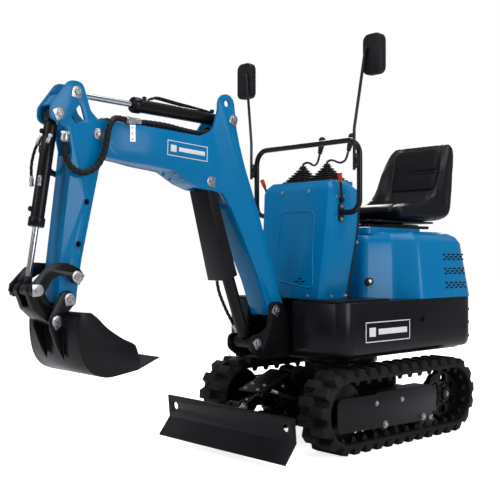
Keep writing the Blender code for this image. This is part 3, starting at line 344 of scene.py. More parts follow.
def softened_copy(node, name, edge=0.0016, segments=2, angle=28, weld=0.00006):
    """Copy of a plain node's mesh with flat faces made whole again and its edges rounded."""
    shape = bmesh.new()
    shape.from_mesh(frame["nodes"][node].data)
    bmesh.ops.remove_doubles(shape, verts=shape.verts, dist=weld)
    bmesh.ops.dissolve_limit(shape, angle_limit=math.radians(1.0), verts=shape.verts, edges=shape.edges)
    mesh = bpy.data.meshes.new(name)
    shape.to_mesh(mesh)
    shape.free()
    holder = bpy.data.objects.new(name, mesh)
    bpy.context.scene.collection.objects.link(holder)
    rounding = holder.modifiers.new("rounding", "BEVEL")
    rounding.width = edge
    rounding.segments = segments
    rounding.limit_method = "ANGLE"
    rounding.angle_limit = math.radians(angle)
    rounding.use_clamp_overlap = True
    rounding.harden_normals = False
    made = evaluated_copy(holder)
    bpy.data.objects.remove(holder, do_unlink=True)
    made.name = name
    made.shade_smooth()
    made.set_sharp_from_angle(angle=math.radians(38))
    return made


def dressed(node, body, material, slot, edge=0.0016, angle=28):
    """A node shown as it is, with rounded edges and its real surface."""
    name = f"{node}_finished"
    return placed(name, softened_copy(node, name, edge, angle=angle), material, body, slot, node)


def hexagon_bolt(shape, place, way, size, washer=True):
    """Hexagon head on a washer; size is the head's half width and way the direction it faces."""
    turn = Vector(way).to_track_quat("Z", "Y").to_matrix().to_4x4()
    turn.translation = Vector(place)
    base = 0.0
    if washer:
        disc = bmesh.ops.create_cone(shape, cap_ends=True, segments=20, radius1=size * 1.65,
                                     radius2=size * 1.6, depth=size * 0.28)["verts"]
        bmesh.ops.transform(shape, matrix=turn @ Matrix.Translation((0, 0, size * 0.14)), verts=disc)
        base = size * 0.28
    head = bmesh.ops.create_cone(shape, cap_ends=True, segments=6, radius1=size * 1.15, radius2=size * 1.15,
                                 depth=size * 0.62)["verts"]
    bmesh.ops.transform(shape, matrix=turn @ Matrix.Translation((0, 0, base + size * 0.31)), verts=head)
    crown = bmesh.ops.create_cone(shape, cap_ends=True, segments=18, radius1=size * 1.0, radius2=size * 0.72,
                                  depth=size * 0.18)["verts"]
    bmesh.ops.transform(shape, matrix=turn @ Matrix.Translation((0, 0, base + size * 0.70)), verts=crown)


def bolt_group(name, body, bolts, slot="chrome", material=None):
    """Several bolts as one piece: each is (place, way, half width)."""
    shape = bmesh.new()
    for place, way, size in bolts:
        hexagon_bolt(shape, place, way, size)
    placed(name, mesh_from(shape, name, 30), material or zinc, body, slot)


def cut_plate(outline, holes, low, high, edge=0.001, across="y"):
    """Flat plate with round holes (a, b, radius) and softened edges, between low and high."""
    shape_curve = bpy.data.curves.new("plate", "CURVE")
    shape_curve.dimensions = "2D"
    shape_curve.fill_mode = "BOTH"
    shape_curve.extrude = (high - low) / 2 - edge
    shape_curve.bevel_depth = edge
    shape_curve.bevel_resolution = 1
    shape_curve.offset = -edge
    rings = [outline]
    for a, b, radius in holes:
        rings.append([(a + radius * math.cos(t * math.pi / 12), b - radius * math.sin(t * math.pi / 12))
                      for t in range(24)])
    for ring in rings:
        spline = shape_curve.splines.new("POLY")
        spline.points.add(len(ring) - 1)
        for point, (a, b) in zip(spline.points, ring):
            point.co = (a, b, 0, 1)
        spline.use_cyclic_u = True
    holder = bpy.data.objects.new("plate", shape_curve)
    bpy.context.scene.collection.objects.link(holder)
    mesh = evaluated_copy(holder)
    bpy.data.objects.remove(holder, do_unlink=True)
    middle = (low + high) / 2
    for vertex in mesh.vertices:
        a, b, t = vertex.co
        vertex.co = (a, middle + t, b) if across == "y" else (a, b, middle + t)
    shape = bmesh.new()
    shape.from_mesh(mesh)
    bmesh.ops.remove_doubles(shape, verts=shape.verts, dist=0.00002)
    return shape


def joined(*shapes):
    """One bmesh from several."""
    total = bmesh.new()
    for shape in shapes:
        passing = bpy.data.meshes.new("passing")
        shape.to_mesh(passing)
        shape.free()
        total.from_mesh(passing)
        bpy.data.meshes.remove(passing)
    return total


def turned(profile, centre, axis="y", segments=40):
    """Body of revolution: profile is (radius, distance along the axis) from one end to the other."""
    shape = bmesh.new()
    rings = []
    for radius, along in profile:
        ring = []
        for k in range(segments):
            angle = 2 * math.pi * k / segments
            a, b = radius * math.cos(angle), radius * math.sin(angle)
            offset = {"y": (a, along, b), "x": (along, a, b), "z": (a, b, along)}[axis]
            ring.append(shape.verts.new(Vector(centre) + Vector(offset)))
        rings.append(ring)
    for here, after in zip(rings, rings[1:]):
        for i in range(segments):
            j = (i + 1) % segments
            shape.faces.new((here[i], here[j], after[j], after[i]))
    shape.faces.new(rings[0])
    shape.faces.new(rings[-1])
    return shape


def sprocket_wheel(side):
    """Toothed disc with six lightening holes, and a stepped hub with its ring of bolts."""
    low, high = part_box(f"sprocket_{side}")
    track_low, track_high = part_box(f"track_{side}")
    outside = (track_high.z - track_low.z) / 2
    centre = Vector((track_low.x + outside, (low.y + high.y) / 2, (low.z + high.z) / 2))
    outward = 1 if centre.y > 0 else -1
    teeth, steps = 9, 8
    outline = []
    for k in range(teeth * steps):
        angle = 2 * math.pi * k / (teeth * steps)
        wave = 0.5 + 0.5 * math.cos(angle * teeth)
        radius = wheel_radius - 0.001 - 0.017 * (1 - wave) ** 2
        outline.append((centre.x + radius * math.cos(angle), centre.z + radius * math.sin(angle)))
    holes = []
    for k in range(6):
        angle = 2 * math.pi * (k + 0.5) / 6
        holes.append((centre.x + 0.082 * math.cos(angle), centre.z + 0.082 * math.sin(angle), 0.022))
    disc = cut_plate(outline, holes, centre.y - 0.014, centre.y + 0.014, 0.002)
    hub = turned([(0.052, -0.010), (0.052, 0.018), (0.048, 0.022), (0.034, 0.022), (0.030, 0.034),
                  (0.018, 0.036)], centre, segments=36)
    if outward < 0:
        bmesh.ops.scale(hub, vec=(1, -1, 1), verts=hub.verts, space=Matrix.Translation(-centre))
    placed(f"sprocket_wheel_{side}", mesh_from(joined(disc, hub), f"sprocket_wheel_{side}"), frame_black,
           "undercarriage", "black_paint", f"sprocket_{side}")
    bolts = []
    for k in range(6):
        angle = 2 * math.pi * k / 6
        spot = centre + Vector((0.041 * math.cos(angle), outward * 0.022, 0.041 * math.sin(angle)))
        bolts.append((spot, (0, outward, 0), 0.005))
    bolt_group(f"sprocket_bolts_{side}", "undercarriage", bolts, "black_paint", frame_black)
    bolt_group(f"sprocket_centre_bolt_{side}", "undercarriage",
               [(centre + Vector((0, outward * 0.036, 0)), (0, outward, 0), 0.008)])


def track_fittings(side):
    """Zinc bolts on the cover plate, the roller axles and the tensioner."""
    low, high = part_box(f"track_frame_{side}")
    outward = 1 if high.y > 0 else -1
    face = high.y if outward > 0 else low.y
    face += outward * 0.0012
    spots = [(0.217, 0.219, 0.0075), (0.023, 0.218, 0.0075), (0.153, 0.112, 0.011), (-0.147, 0.112, 0.011),
             (-0.205, 0.100, 0.007)]
    bolts = [((slew.x + x, face, z), (0, outward, 0), size) for x, z, size in spots]
    bolt_group(f"track_frame_bolts_{side}", "undercarriage", bolts)


def cover_plate(side):
    """Folded plate over the track frame: a chamfered front, and a rear half that steps up."""
    low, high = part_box(f"track_frame_{side}")
    outward = 1 if high.y > 0 else -1
    face = high.y if outward > 0 else low.y
    front = [(0.478, 0.108), (0.496, 0.125), (0.496, 0.246), (0.470, 0.266), (0.222, 0.262)]
    rear = [(0.213, 0.270), (-0.222, 0.268), (-0.222, 0.108), (-0.190, 0.090)]
    outline = [(slew.x + x, z) for x, z in front + rear]
    near, far = sorted((face - outward * 0.003, face + outward * 0.0015))
    plate = cut_plate(outline, [], near, far, 0.0008)
    placed(f"cover_plate_{side}", mesh_from(plate, f"cover_plate_{side}", 30), plate_black, "undercarriage",
           "black_paint")


for side in ("left", "right"):
    cover_plate(side)
    sprocket_wheel(side)
    dressed(f"idler_{side}", "undercarriage", frame_black, "black_paint", 0.003)
    dressed(f"roller_front_{side}", "undercarriage", frame_black, "black_paint", 0.002)
    dressed(f"roller_rear_{side}", "undercarriage", frame_black, "black_paint", 0.002)
    dressed(f"track_frame_{side}", "undercarriage", plate_black, "black_paint", 0.002)
    track_fittings(side)
dressed("car_body", "undercarriage", frame_black, "black_paint", 0.003)
dressed("slew_ring", "undercarriage", frame_black, "black_paint", 0.002)

# ---- Dozer blade ---------------------------------------------------------------------------------
# Folded steel sheet on two flat push arms, in black powder coat. Its pins are held by zinc flags, and a
# cover plate with four bolts shields the blade cylinder.
dressed("blade", "blade", plate_black, "black_paint", 0.0015)
dressed("blade_arm", "blade", frame_black, "black_paint", 0.002)


def pin(name):
    """x and z of a hinge, by its joint's name."""
    spot = joints[name]["pos_m"]
    return spot[0], spot[2]


def pin_flag(spot, y, outward, turn=0.0, size=0.046):
    """Pin end with its locking plate: a square plate with one round end, a pin head and a small bolt."""
    half = size / 2
    outline = [(-half * 1.1, -half), (-half * 0.1, -half)]
    outline += [(half * math.cos(a), half * math.sin(a)) for a in
                [math.radians(-84 + 14 * k) for k in range(13)]]
    outline += [(-half * 0.1, half), (-half * 1.1, half)]
    c, s = math.cos(turn), math.sin(turn)
    moved = [(spot[0] + a * c - b * s, spot[1] + a * s + b * c) for a, b in outline]
    low, high = sorted((y, y + outward * 0.004))
    plate = cut_plate(moved, [], low, high, 0.0008)
    head = turned([(0.0135, 0.0), (0.0135, 0.0070), (0.0120, 0.0090), (0.0088, 0.0090), (0.0080, 0.0055),
                   (0.0050, 0.0055), (0.0042, 0.0085)], (0, 0, 0), segments=28)
    if outward < 0:
        bmesh.ops.scale(head, vec=(1, -1, 1), verts=head.verts)
    bmesh.ops.translate(head, vec=(spot[0], y + outward * 0.002, spot[1]), verts=head.verts)
    bolt = bmesh.new()
    corner = (spot[0] - half * 0.78 * c, spot[1] - half * 0.78 * s)
    hexagon_bolt(bolt, (corner[0], y + outward * 0.004, corner[1]), (0, outward, 0), 0.0042, False)
    return joined(plate, head, bolt)


def flags(name, body, places):
    """A body's pin flags as one piece: each is (x and z, y of the face, side it faces, turn)."""
    placed(name, mesh_from(joined(*[pin_flag(*place) for place in places]), name, 30), zinc, body, "chrome")


blade_eye = from_slew(0.722, 0, 0.211)
flags("blade_flags", "blade", [((blade_eye.x, blade_eye.z), s * 0.041, s, 2.4) for s in (1, -1)])
flags("blade_pivot_flags", "blade", [(pin("blade_lift"), s * 0.110, s, 3.0) for s in (1, -1)])
dressed("blade_cylinder_cover", "blade_cylinder_barrel", plate_black, "black_paint", 0.001)
cover_foot = Vector(joints["blade_cylinder_swing"]["pos_m"])
cover_way = (blade_eye - cover_foot).normalized()
cover_up = Vector((-cover_way.z, 0, cover_way.x))
cover_bolts = []
for along in (0.215, 0.262):
    for y in (-0.042, 0.042):
        spot = cover_foot + cover_way * along + cover_up * 0.0365
        cover_bolts.append((spot + Vector((0, y, 0)), cover_up, 0.0065))
bolt_group("blade_cover_bolts", "blade_cylinder_barrel", cover_bolts)

# ---- Hydraulic cylinders -------------------------------------------------------------------------
# Seamless tube barrels in black paint with a screwed gland and two welded ports, and hard-chromed rods
# that end in a forged eye.
chrome = finish("hard_chrome", (0.60, 0.61, 0.64), 0.10, metal=1.0, cloud=0.03, cloud_size=30, grain=0.03,
                grain_size=1500, grain_depth=0.0001, edge=0.0006)
forged = finish("forged_eye", (0.009, 0.009, 0.011), 0.38, coat=0.05, cloud=0.2, grain=0.3, grain_size=400)


def axis_frame(start, end):
    """Matrix at start whose Z runs towards end, and the distance between them."""
    way = Vector(end) - Vector(start)
    turn = way.to_track_quat("Z", "Y").to_matrix().to_4x4()
    turn.translation = Vector(start)
    return turn, way.length


def barrel_and_rod(name, far_pin, tube_radius, rod_radius, ports):
    """Barrel, gland, ports and eye as one piece, and the chromed rod and its eye as two more."""
    barrel_node, rod_node = f"{name}_barrel", f"{name}_rod"
    start = Vector(joints[f"{name}_swing"]["pos_m"])
    turn, length = axis_frame(start, far_pin)
    inverse = turn.inverted()
    barrel_mesh = frame["nodes"][barrel_node].data
    reach = max((inverse @ v.co).z for v in barrel_mesh.vertices)
    base_low, base_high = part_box(barrel_node)
    profile = [(tube_radius * 0.55, 0.024), (tube_radius * 0.86, 0.030), (tube_radius - 0.001, 0.036),
               (tube_radius, 0.040), (tube_radius, reach - 0.040), (tube_radius + 0.0045, reach - 0.037),
               (tube_radius + 0.0055, reach - 0.034), (tube_radius + 0.0055, reach - 0.006),
               (tube_radius + 0.003, reach - 0.001), (tube_radius - 0.004, reach),
               (tube_radius - 0.010, reach), (0.0145, reach - 0.001), (0.0145, reach - 0.02)]
    body = turned(profile, (0, 0, 0), "z", 40)
    bmesh.ops.transform(body, matrix=turn, verts=body.verts)
    half = (base_high.y - base_low.y) / 2
    eye_ring = turned([(0.0155, -half), (0.026, -half), (0.0285, -half + 0.002), (0.0285, half - 0.002),
                       (0.026, half), (0.0155, half)], start, "y", 32)
    fittings = []
    for along, angle in ports:
        side = Vector((math.cos(angle), math.sin(angle), 0))
        foot = turn @ (Vector((0, 0, along)) + side * (tube_radius - 0.002))
        top = turn @ (Vector((0, 0, along)) + side * (tube_radius + 0.014))
        boss_turn, boss_length = axis_frame(foot, top)
        boss = turned([(0.010, 0), (0.010, boss_length - 0.002), (0.008, boss_length)], (0, 0, 0), "z", 18)
        bmesh.ops.transform(boss, matrix=boss_turn, verts=boss.verts)
        fittings.append(boss)
    placed(f"{name}_tube", mesh_from(joined(body, eye_ring, *fittings), f"{name}_tube", 35), frame_black,
           barrel_node, "black_paint", barrel_node)
    rod_low, rod_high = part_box(rod_node)
    rod_mesh = frame["nodes"][rod_node].data
    on_axis = [inverse @ v.co for v in rod_mesh.vertices]
    rod_start = min(p.z for p in on_axis)
    shaft = turned([(rod_radius - 0.002, rod_start), (rod_radius, rod_start + 0.002),
                    (rod_radius, length - 0.030)], (0, 0, 0), "z", 32)
    bmesh.ops.transform(shaft, matrix=turn, verts=shaft.verts)
    placed(f"{name}_chrome_rod", mesh_from(shaft, f"{name}_chrome_rod"), chrome, rod_node, "chrome", rod_node)
    half = (rod_high.y - rod_low.y) / 2
    far = Vector(far_pin)
    ring = turned([(0.014, -half), (0.0205, -half), (0.0235, -half + 0.002), (0.0235, half - 0.002),
                   (0.0205, half), (0.014, half)], far, "y", 32)
    neck = turned([(rod_radius + 0.001, length - 0.052), (rod_radius + 0.004, length - 0.048),
                   (rod_radius + 0.005, length - 0.030), (0.0145, length - 0.012)], (0, 0, 0), "z", 24)
    bmesh.ops.transform(neck, matrix=turn, verts=neck.verts)
    placed(f"{name}_rod_eye", mesh_from(joined(ring, neck), f"{name}_rod_eye", 35), forged, rod_node,
           "black_paint")


half_pi = math.pi / 2
for name, far_pin, tube_radius, rod_radius, ports in (
        ("blade_cylinder", blade_eye, 0.026, 0.011, []),
        ("boom_cylinder", from_slew(0.942, 0, 1.251), 0.029, 0.0125, [(0.075, half_pi), (0.400, half_pi)]),
        ("arm_cylinder", from_slew(1.627, 0, 1.570), 0.029, 0.0125, [(0.075, half_pi), (0.455, half_pi)]),
        ("bucket_cylinder", from_slew(1.816, 0, 0.788), 0.027, 0.012, [(0.075, half_pi), (0.385, half_pi)])):
    barrel_and_rod(name, far_pin, tube_radius, rod_radius, ports)

# ---- House: deck, lower body and hood ------------------------------------------------------------
# The deck and boom ears are flame-cut plate. The lower body is a heavy moulded skirt in black, and the
# hood is a pressed steel shell in blue gloss paint with punched vents and a filler cap.
blue_gloss = finish("blue_gloss_paint", (0.0004, 0.180, 0.420), 0.20, coat=0.0, cloud=0.05, cloud_size=3.5,
                    grain=0.10, grain_size=240, grain_depth=0.0006, edge=0.0022)
skirt_black = finish("black_skirt_paint", (0.006, 0.006, 0.008), 0.24, coat=0.0, cloud=0.10, cloud_size=4,
                     grain=0.16, grain_size=420, grain_depth=0.0004, edge=0.003)
# Near-black rough fill for the vent slots: painted shade standing in for the dark inside of the openings.
vent_shadow_paint = finish("vent_shadow", (0.004, 0.004, 0.005), 0.8, cloud=0.2, grain=0.1)
moulded_black = finish("black_moulding", (0.010, 0.010, 0.012), 0.42, cloud=0.12, cloud_size=20, grain=0.35,
                       grain_size=900, grain_depth=0.0003)
dressed("house_frame", "house", frame_black, "black_paint", 0.0018)
dressed("floor_plate", "house", plate_black, "black_paint", 0.0015)


def rounded(corners, steps=6):
    """Outline with arcs at the corners that give a radius: each corner is (x, y) or (x, y, radius)."""
    points = []
    count = len(corners)
    for i, corner in enumerate(corners):
        here = Vector(corner[:2])
        if len(corner) == 2:
            points.append(tuple(here))
            continue
        before = (Vector(corners[i - 1][:2]) - here).normalized()
        after = (Vector(corners[(i + 1) % count][:2]) - here).normalized()
        half_angle = before.angle(after) / 2
        reach = corner[2] / math.tan(half_angle)
        middle = here + (before + after).normalized() * (corner[2] / math.sin(half_angle))
        start, end = here + before * reach - middle, here + after * reach - middle
        first = math.atan2(start.y, start.x)
        turn = (math.atan2(end.y, end.x) - first + math.pi) % (2 * math.pi) - math.pi
        for k in range(steps + 1):
            angle = first + turn * k / steps
            points.append(tuple(middle + Vector((math.cos(angle), math.sin(angle))) * corner[2]))
    return points


def lofted(rings):
    """Closed mesh through rings of equal count, capped at both ends."""
    shape = bmesh.new()
    rows = [[shape.verts.new(p) for p in ring] for ring in rings]
    for low, high in zip(rows, rows[1:]):
        for i in range(len(low)):
            j = (i + 1) % len(low)
            shape.faces.new((low[i], low[j], high[j], high[i]))
    shape.faces.new(rows[0])
    shape.faces.new(rows[-1])
    return shape


hood_front, hood_half, hood_rear = 0.055, 0.405, -0.795
# Plans are measured from the slew axis.
hood_plan = rounded([(hood_front, -0.20, 0.05), (hood_front, 0.20, 0.05), (-0.095, 0.285, 0.06),
                     (-0.175, hood_half, 0.05), (-0.60, hood_half - 0.005, 0.13), (hood_rear, 0.26, 0.10),
                     (hood_rear, -0.26, 0.10), (-0.60, -hood_half + 0.005, 0.13), (-0.175, -hood_half, 0.05),
                     (-0.095, -0.285, 0.06)], 8)


def hood_ring(z, front, half, rear):
    """The hood's plan at one height, drawn in to a front, a half width and a rear."""
    stretch = (front - rear) / (hood_front - hood_rear)
    return [(slew.x + rear + (x - hood_rear) * stretch, y * half / hood_half, z) for x, y in hood_plan]


def skirt_plan(inset):
    """Plan of the lower body, with the notch in front that the boom swings in."""
    front, half, rear = 0.47 - inset, 0.41 - inset, -0.770 + inset
    plan = rounded([(front, 0.115), (front, 0.24), (front - 0.045, half, 0.085), (-0.60, half - 0.01, 0.12),
                    (rear, 0.24, 0.12), (rear, -0.24, 0.12), (-0.60, -half + 0.01, 0.12),
                    (front - 0.045, -half, 0.085), (front, -0.24), (front, -0.115), (0.32, -0.115),
                    (0.32, 0.115)], 10)
    return [(slew.x + x, y) for x, y in plan]


body_low, body_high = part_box("lower_body")
skirt_sections = [(body_low.z, 0.034), (body_low.z + 0.004, 0.020), (body_low.z + 0.014, 0.009),
                  (body_low.z + 0.030, 0.002), (body_low.z + 0.050, 0.0), (body_high.z - 0.006, 0.0),
                  (body_high.z - 0.0018, 0.0018), (body_high.z, 0.006)]
skirt = lofted([[(x, y, z) for x, y in skirt_plan(inset)] for z, inset in skirt_sections])
placed("moulded_skirt", mesh_from(skirt, "moulded_skirt", 35), skirt_black, "house", "black_paint",
       "lower_body")
hood_low, hood_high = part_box("hood")
hood_sections = [(hood_low.z, hood_front, hood_half, hood_rear), (0.985, 0.020, 0.375, -0.728),
                 (1.018, 0.006, 0.352, -0.706), (1.036, -0.016, 0.318, -0.674),
                 (1.045, -0.040, 0.280, -0.634), (1.047, -0.08, 0.24, -0.59)]
pad_ring = rounded([(-0.005, -0.19, 0.03), (-0.005, 0.19, 0.03), (-0.50, 0.17, 0.05), (-0.50, -0.17, 0.05)])
pad_sections = [(1.030, 1.0), (1.060, 1.0), (1.0645, 0.990), (hood_high.z, 0.975)]
hood_shell = lofted([hood_ring(*section) for section in hood_sections])
seat_platform = lofted([[(slew.x - 0.25 + (x + 0.25) * scale, y * scale, z) for x, y in pad_ring]
                        for z, scale in pad_sections])
placed("pressed_hood", mesh_from(joined(hood_shell, seat_platform), "pressed_hood", 32), blue_gloss, "house",
       "blue_paint", "hood")
dressed("engine_block", "house", frame_black, "engine", 0.004)


def surface_at(node, place, way):
    """Point on a node's own surface, met from a place in a direction."""
    mesh = frame["nodes"][node].data
    tree = BVHTree.FromPolygons([v.co for v in mesh.vertices], [p.vertices for p in mesh.polygons])
    spot, normal, _, _ = tree.ray_cast(Vector(place), Vector(way))
    return spot, normal


def punched_slot(shape, node, place, way, width, height, depth=0.0012):
    """Slot with rounded ends on a node's surface, where a line from a place in a direction meets it."""
    spot, normal = surface_at(node, place, way)
    corner = height * 0.4
    outline = []
    for k in range(12):
        a = 2 * math.pi * k / 12
        c, s = math.cos(a), math.sin(a)
        outline.append(((width / 2 - corner) * (1 if c > 0 else -1) + corner * c,
                        (height / 2 - corner) * (1 if s > 0 else -1) + corner * s))
    out = normal.normalized()
    right = Vector((0, 0, 1)).cross(out).normalized()
    upward = out.cross(right)
    ring = [shape.verts.new(spot + right * a + upward * b + out * depth) for a, b in outline]
    inner = [shape.verts.new(spot + right * a + upward * b - out * depth) for a, b in outline]
    shape.faces.new(ring)
    shape.faces.new(inner[::-1])
    for i in range(len(ring)):
        j = (i + 1) % len(ring)
        shape.faces.new((ring[i], inner[i], inner[j], ring[j]))


# Each side has three groups of vents, in rows of slots set like bricks. Each slot is a thin near-black piece
# on the hood's surface, painted shade where the opening is dark; nothing is cut through.
vents = bmesh.new()
for sign in (1, -1):
    for group_z in (0.912, 0.838, 0.764):
        for row in range(3):
            for column in range(9):
                if (row + column) % 2 == 0:
                    place = from_slew(-0.395 - 0.0215 * column, sign * 0.6, group_z + 0.0125 * (row - 1))
                    punched_slot(vents, "hood", place, (0, -sign, 0), 0.026, 0.0085)
placed("hood_vents", mesh_from(vents, "hood_vents"), vent_shadow_paint, "house", "black_plastic")

cap_place, cap_way = surface_at("hood", from_slew(0.02, 0.6, 0.787), (0, -1, 0))
cap_shape = turned([(0.020, -0.004), (0.020, 0.010), (0.018, 0.013), (0.015, 0.013)], (0, 0, 0), "z", 36)
cap_turn = cap_way.to_track_quat("Z", "Y").to_matrix().to_4x4()
cap_turn.translation = cap_place
bmesh.ops.transform(cap_shape, matrix=cap_turn, verts=cap_shape.verts)
placed("filler_cap", mesh_from(cap_shape, "filler_cap", 30), moulded_black, "house", "black_plastic")
cap_top = turned([(0.011, 0.012), (0.011, 0.016), (0.009, 0.018), (0.004, 0.019)], (0, 0, 0), "z", 36)
bmesh.ops.transform(cap_top, matrix=cap_turn, verts=cap_top.verts)
placed("filler_cap_lock", mesh_from(cap_top, "filler_cap_lock", 30), zinc, "house", "chrome")

# Three long slots wrap each rear corner of the lower body, each made of three short ones, drawn as near-black
# pieces of painted shade on its surface.
rear_slots = bmesh.new()
for z in (0.630, 0.560, 0.487):
    for sign in (1, -1):
        for turn in (0.06, 0.30, 0.54):
            c, s = math.cos(turn), math.sin(turn)
            punched_slot(rear_slots, "lower_body", from_slew(-0.62 - s * 0.6, sign * (0.25 + c * 0.6), z),
                         (s, -sign * c, 0), 0.040, 0.013, 0.0025)
placed("lower_body_slots", mesh_from(rear_slots, "lower_body_slots"), vent_shadow_paint, "house", "black_plastic")
bolt_group("lower_body_bolts", "house", [(from_slew(-0.181, sign * body_high.y, 0.598), (0, sign, 0), 0.0085)
                                         for sign in (1, -1)], "black_paint", frame_black)
boom_ear_y = 0.082
flags("house_flags", "house", [(pin("boom_lift"), sign * boom_ear_y, sign, 2.2) for sign in (1, -1)]
      + [(pin("boom_cylinder_swing"), sign * boom_ear_y, sign, 2.6) for sign in (1, -1)])

# ---- Console, guard rail, levers and mirrors -----------------------------------------------------
# A folded blue column carries the two joysticks in square rubber bellows. The guard rail is one bent
# tube bolted to its sides, and the mirrors stand on bent rods clamped to the rail.
red_plastic = finish("red_lever_tip", (0.62, 0.022, 0.012), 0.35, coat=0.3, cloud=0.05)
boot_rubber = finish("bellows_rubber", (0.010, 0.010, 0.011), 0.48, cloud=0.2, cloud_size=30, grain=0.4,
                     grain_size=600, grain_depth=0.0004)
rail_black = finish("black_rail_paint", (0.008, 0.008, 0.009), 0.28, coat=0.15, cloud=0.08, grain=0.12,
                    grain_size=350, grain_depth=0.0003)
dressed("console", "house", blue_gloss, "blue_paint", 0.005)


def console_spot(y, z, lift=0.0):
    """Point on the console's front at that place."""
    spot, normal = surface_at("console", (slew.x + 0.8, y, z), (-1, 0, 0))
    return spot + normal * lift, normal


def console_side(x, z, sign, lift=0.0):
    """Point on one of the console's sides at that place."""
    spot, normal = surface_at("console", (slew.x + x, sign * 0.6, z), (0, -sign, 0))
    return spot + normal * lift, normal


def screws(name, places, size, material, slot_name):
    """Small bolts on a surface, each (point, normal)."""
    bolt_group(name, "house", [(spot, normal, size) for spot, normal in places], slot_name, material)


screws("console_front_screws", [console_spot(sign * 0.092, 1.236) for sign in (1, -1)]
       + [console_spot(y, 0.722) for y in (-0.147, 0.147)], 0.0062, zinc, "chrome")
screws("console_side_screws", [console_side(x, z, sign) for sign in (1, -1)
                               for x, z in ((0.290, 1.206), (0.244, 1.206), (0.330, 0.722), (0.232, 0.722))],
       0.0050, zinc, "chrome")


def between(a, b, c, d, t):
    """Smooth value from b to c, with a before them and d after them; t runs from 0 to 1."""
    return 0.5 * (2 * b + (c - a) * t + (2 * a - 5 * b + 4 * c - d) * t * t
                  + (3 * b - a - 3 * c + d) * t ** 3)


def curve_through(points, per_span):
    """Smooth curve through a few points, with so many steps from each to the next."""
    route = [Vector(p) for p in points]
    route = [route[0] * 2 - route[1]] + route + [route[-1] * 2 - route[-2]]
    made = [between(a, b, c, d, k / per_span) for a, b, c, d in zip(route, route[1:], route[2:], route[3:])
            for k in range(per_span)]
    return made + [route[-2]]


def smooth_path(points, step=0.004):
    """Evenly spaced points on a smooth curve through a few points."""
    dense = curve_through(points, 12)
    spaced = [dense[0]]
    for point in dense[1:]:
        while (point - spaced[-1]).length > step:
            spaced.append(spaced[-1] + (point - spaced[-1]).normalized() * step)
    spaced.append(dense[-1])
    return spaced


def tube_along(route, radius, sides=16, ripple=0.0, twist=0.0, flatten=1.0):
    """Round tube on a dense route; ripple raises a wound pattern that turns along its length."""
    shape = bmesh.new()
    rows = []
    side = None
    for i, here in enumerate(route):
        way = (route[min(i + 1, len(route) - 1)] - route[max(i - 1, 0)]).normalized()
        side = side or way.orthogonal()
        side = (side - way * side.dot(way)).normalized()
        up = way.cross(side)
        ring = []
        for k in range(sides):
            angle = 2 * math.pi * k / sides
            r = radius(i / (len(route) - 1)) if callable(radius) else radius
            r += ripple * math.sin(angle + twist * i)
            ring.append(shape.verts.new(here + (side * math.cos(angle) + up * flatten * math.sin(angle)) * r))
        rows.append(ring)
    shape.faces.new(rows[0])
    shape.faces.new(rows[-1][::-1])
    for low, high in zip(rows, rows[1:]):
        for k in range(sides):
            j = (k + 1) % sides
            shape.faces.new((low[k], low[j], high[j], high[k]))
    return shape


# The front is pressed into one tall panel, and a black strip closes the rear edge of each side.
panel_corners = rounded([(-0.105, 0.800, 0.03), (-0.088, 1.138, 0.03), (0.136, 1.138, 0.03),
                         (0.150, 0.930, 0.03), (0.178, 0.760, 0.02)], 6)[::-1]
panel_corners.append(panel_corners[0])
panel_route = smooth_path([console_spot(y, z, -0.0006)[0] for y, z in panel_corners], 0.006)
placed("console_panel", mesh_from(tube_along(panel_route, 0.0042, 10), "console_panel", 80), blue_gloss,
       "house", "blue_paint")
strips = []
strip_bolts = []
for sign in (1, -1):
    edge_points = [(0.121, 1.225), (0.126, 1.150), (0.134, 1.060), (0.147, 0.990), (0.158, 0.950),
                   (0.182, 0.860), (0.206, 0.770), (0.220, 0.718)]
    route = smooth_path([Vector((slew.x + x, sign * 0.2375, z)) for x, z in edge_points], 0.01)
    strips.append(tube_along(route, 0.0065, 10))
    strip_bolts += [console_side(0.146, 0.985, sign, 0.005), console_side(0.226, 0.724, sign, 0.003)]
placed("console_edge_strips", mesh_from(joined(*strips), "console_edge_strips", 60), plate_black, "house",
       "black_paint")
screws("console_strip_bolts", strip_bolts, 0.0050, zinc, "chrome")
# Four slots low on the console's front, drawn as near-black pieces of painted shade on its surface.
louvres = bmesh.new()
for y, z in ((0.085, 0.806), (0.104, 0.792), (0.066, 0.792), (0.085, 0.778)):
    punched_slot(louvres, "console", from_slew(0.8, y, z), (-1, 0, 0), 0.024, 0.008)
placed("console_louvres", mesh_from(louvres, "console_louvres"), vent_shadow_paint, "house", "black_plastic")

rail_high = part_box("guard_rail")[1]
rail_radius = 0.0135
rail_x = slew.x + 0.262
rail_foot_y = 0.2383
rail_foot_z = 1.128


def bend(centre, radius, start, end, steps=10):
    """Arc of the rail in y and z, between two angles in degrees."""
    return [(centre[0] + radius * math.cos(math.radians(start + (end - start) * k / steps)),
             centre[1] + radius * math.sin(math.radians(start + (end - start) * k / steps)))
            for k in range(steps + 1)]


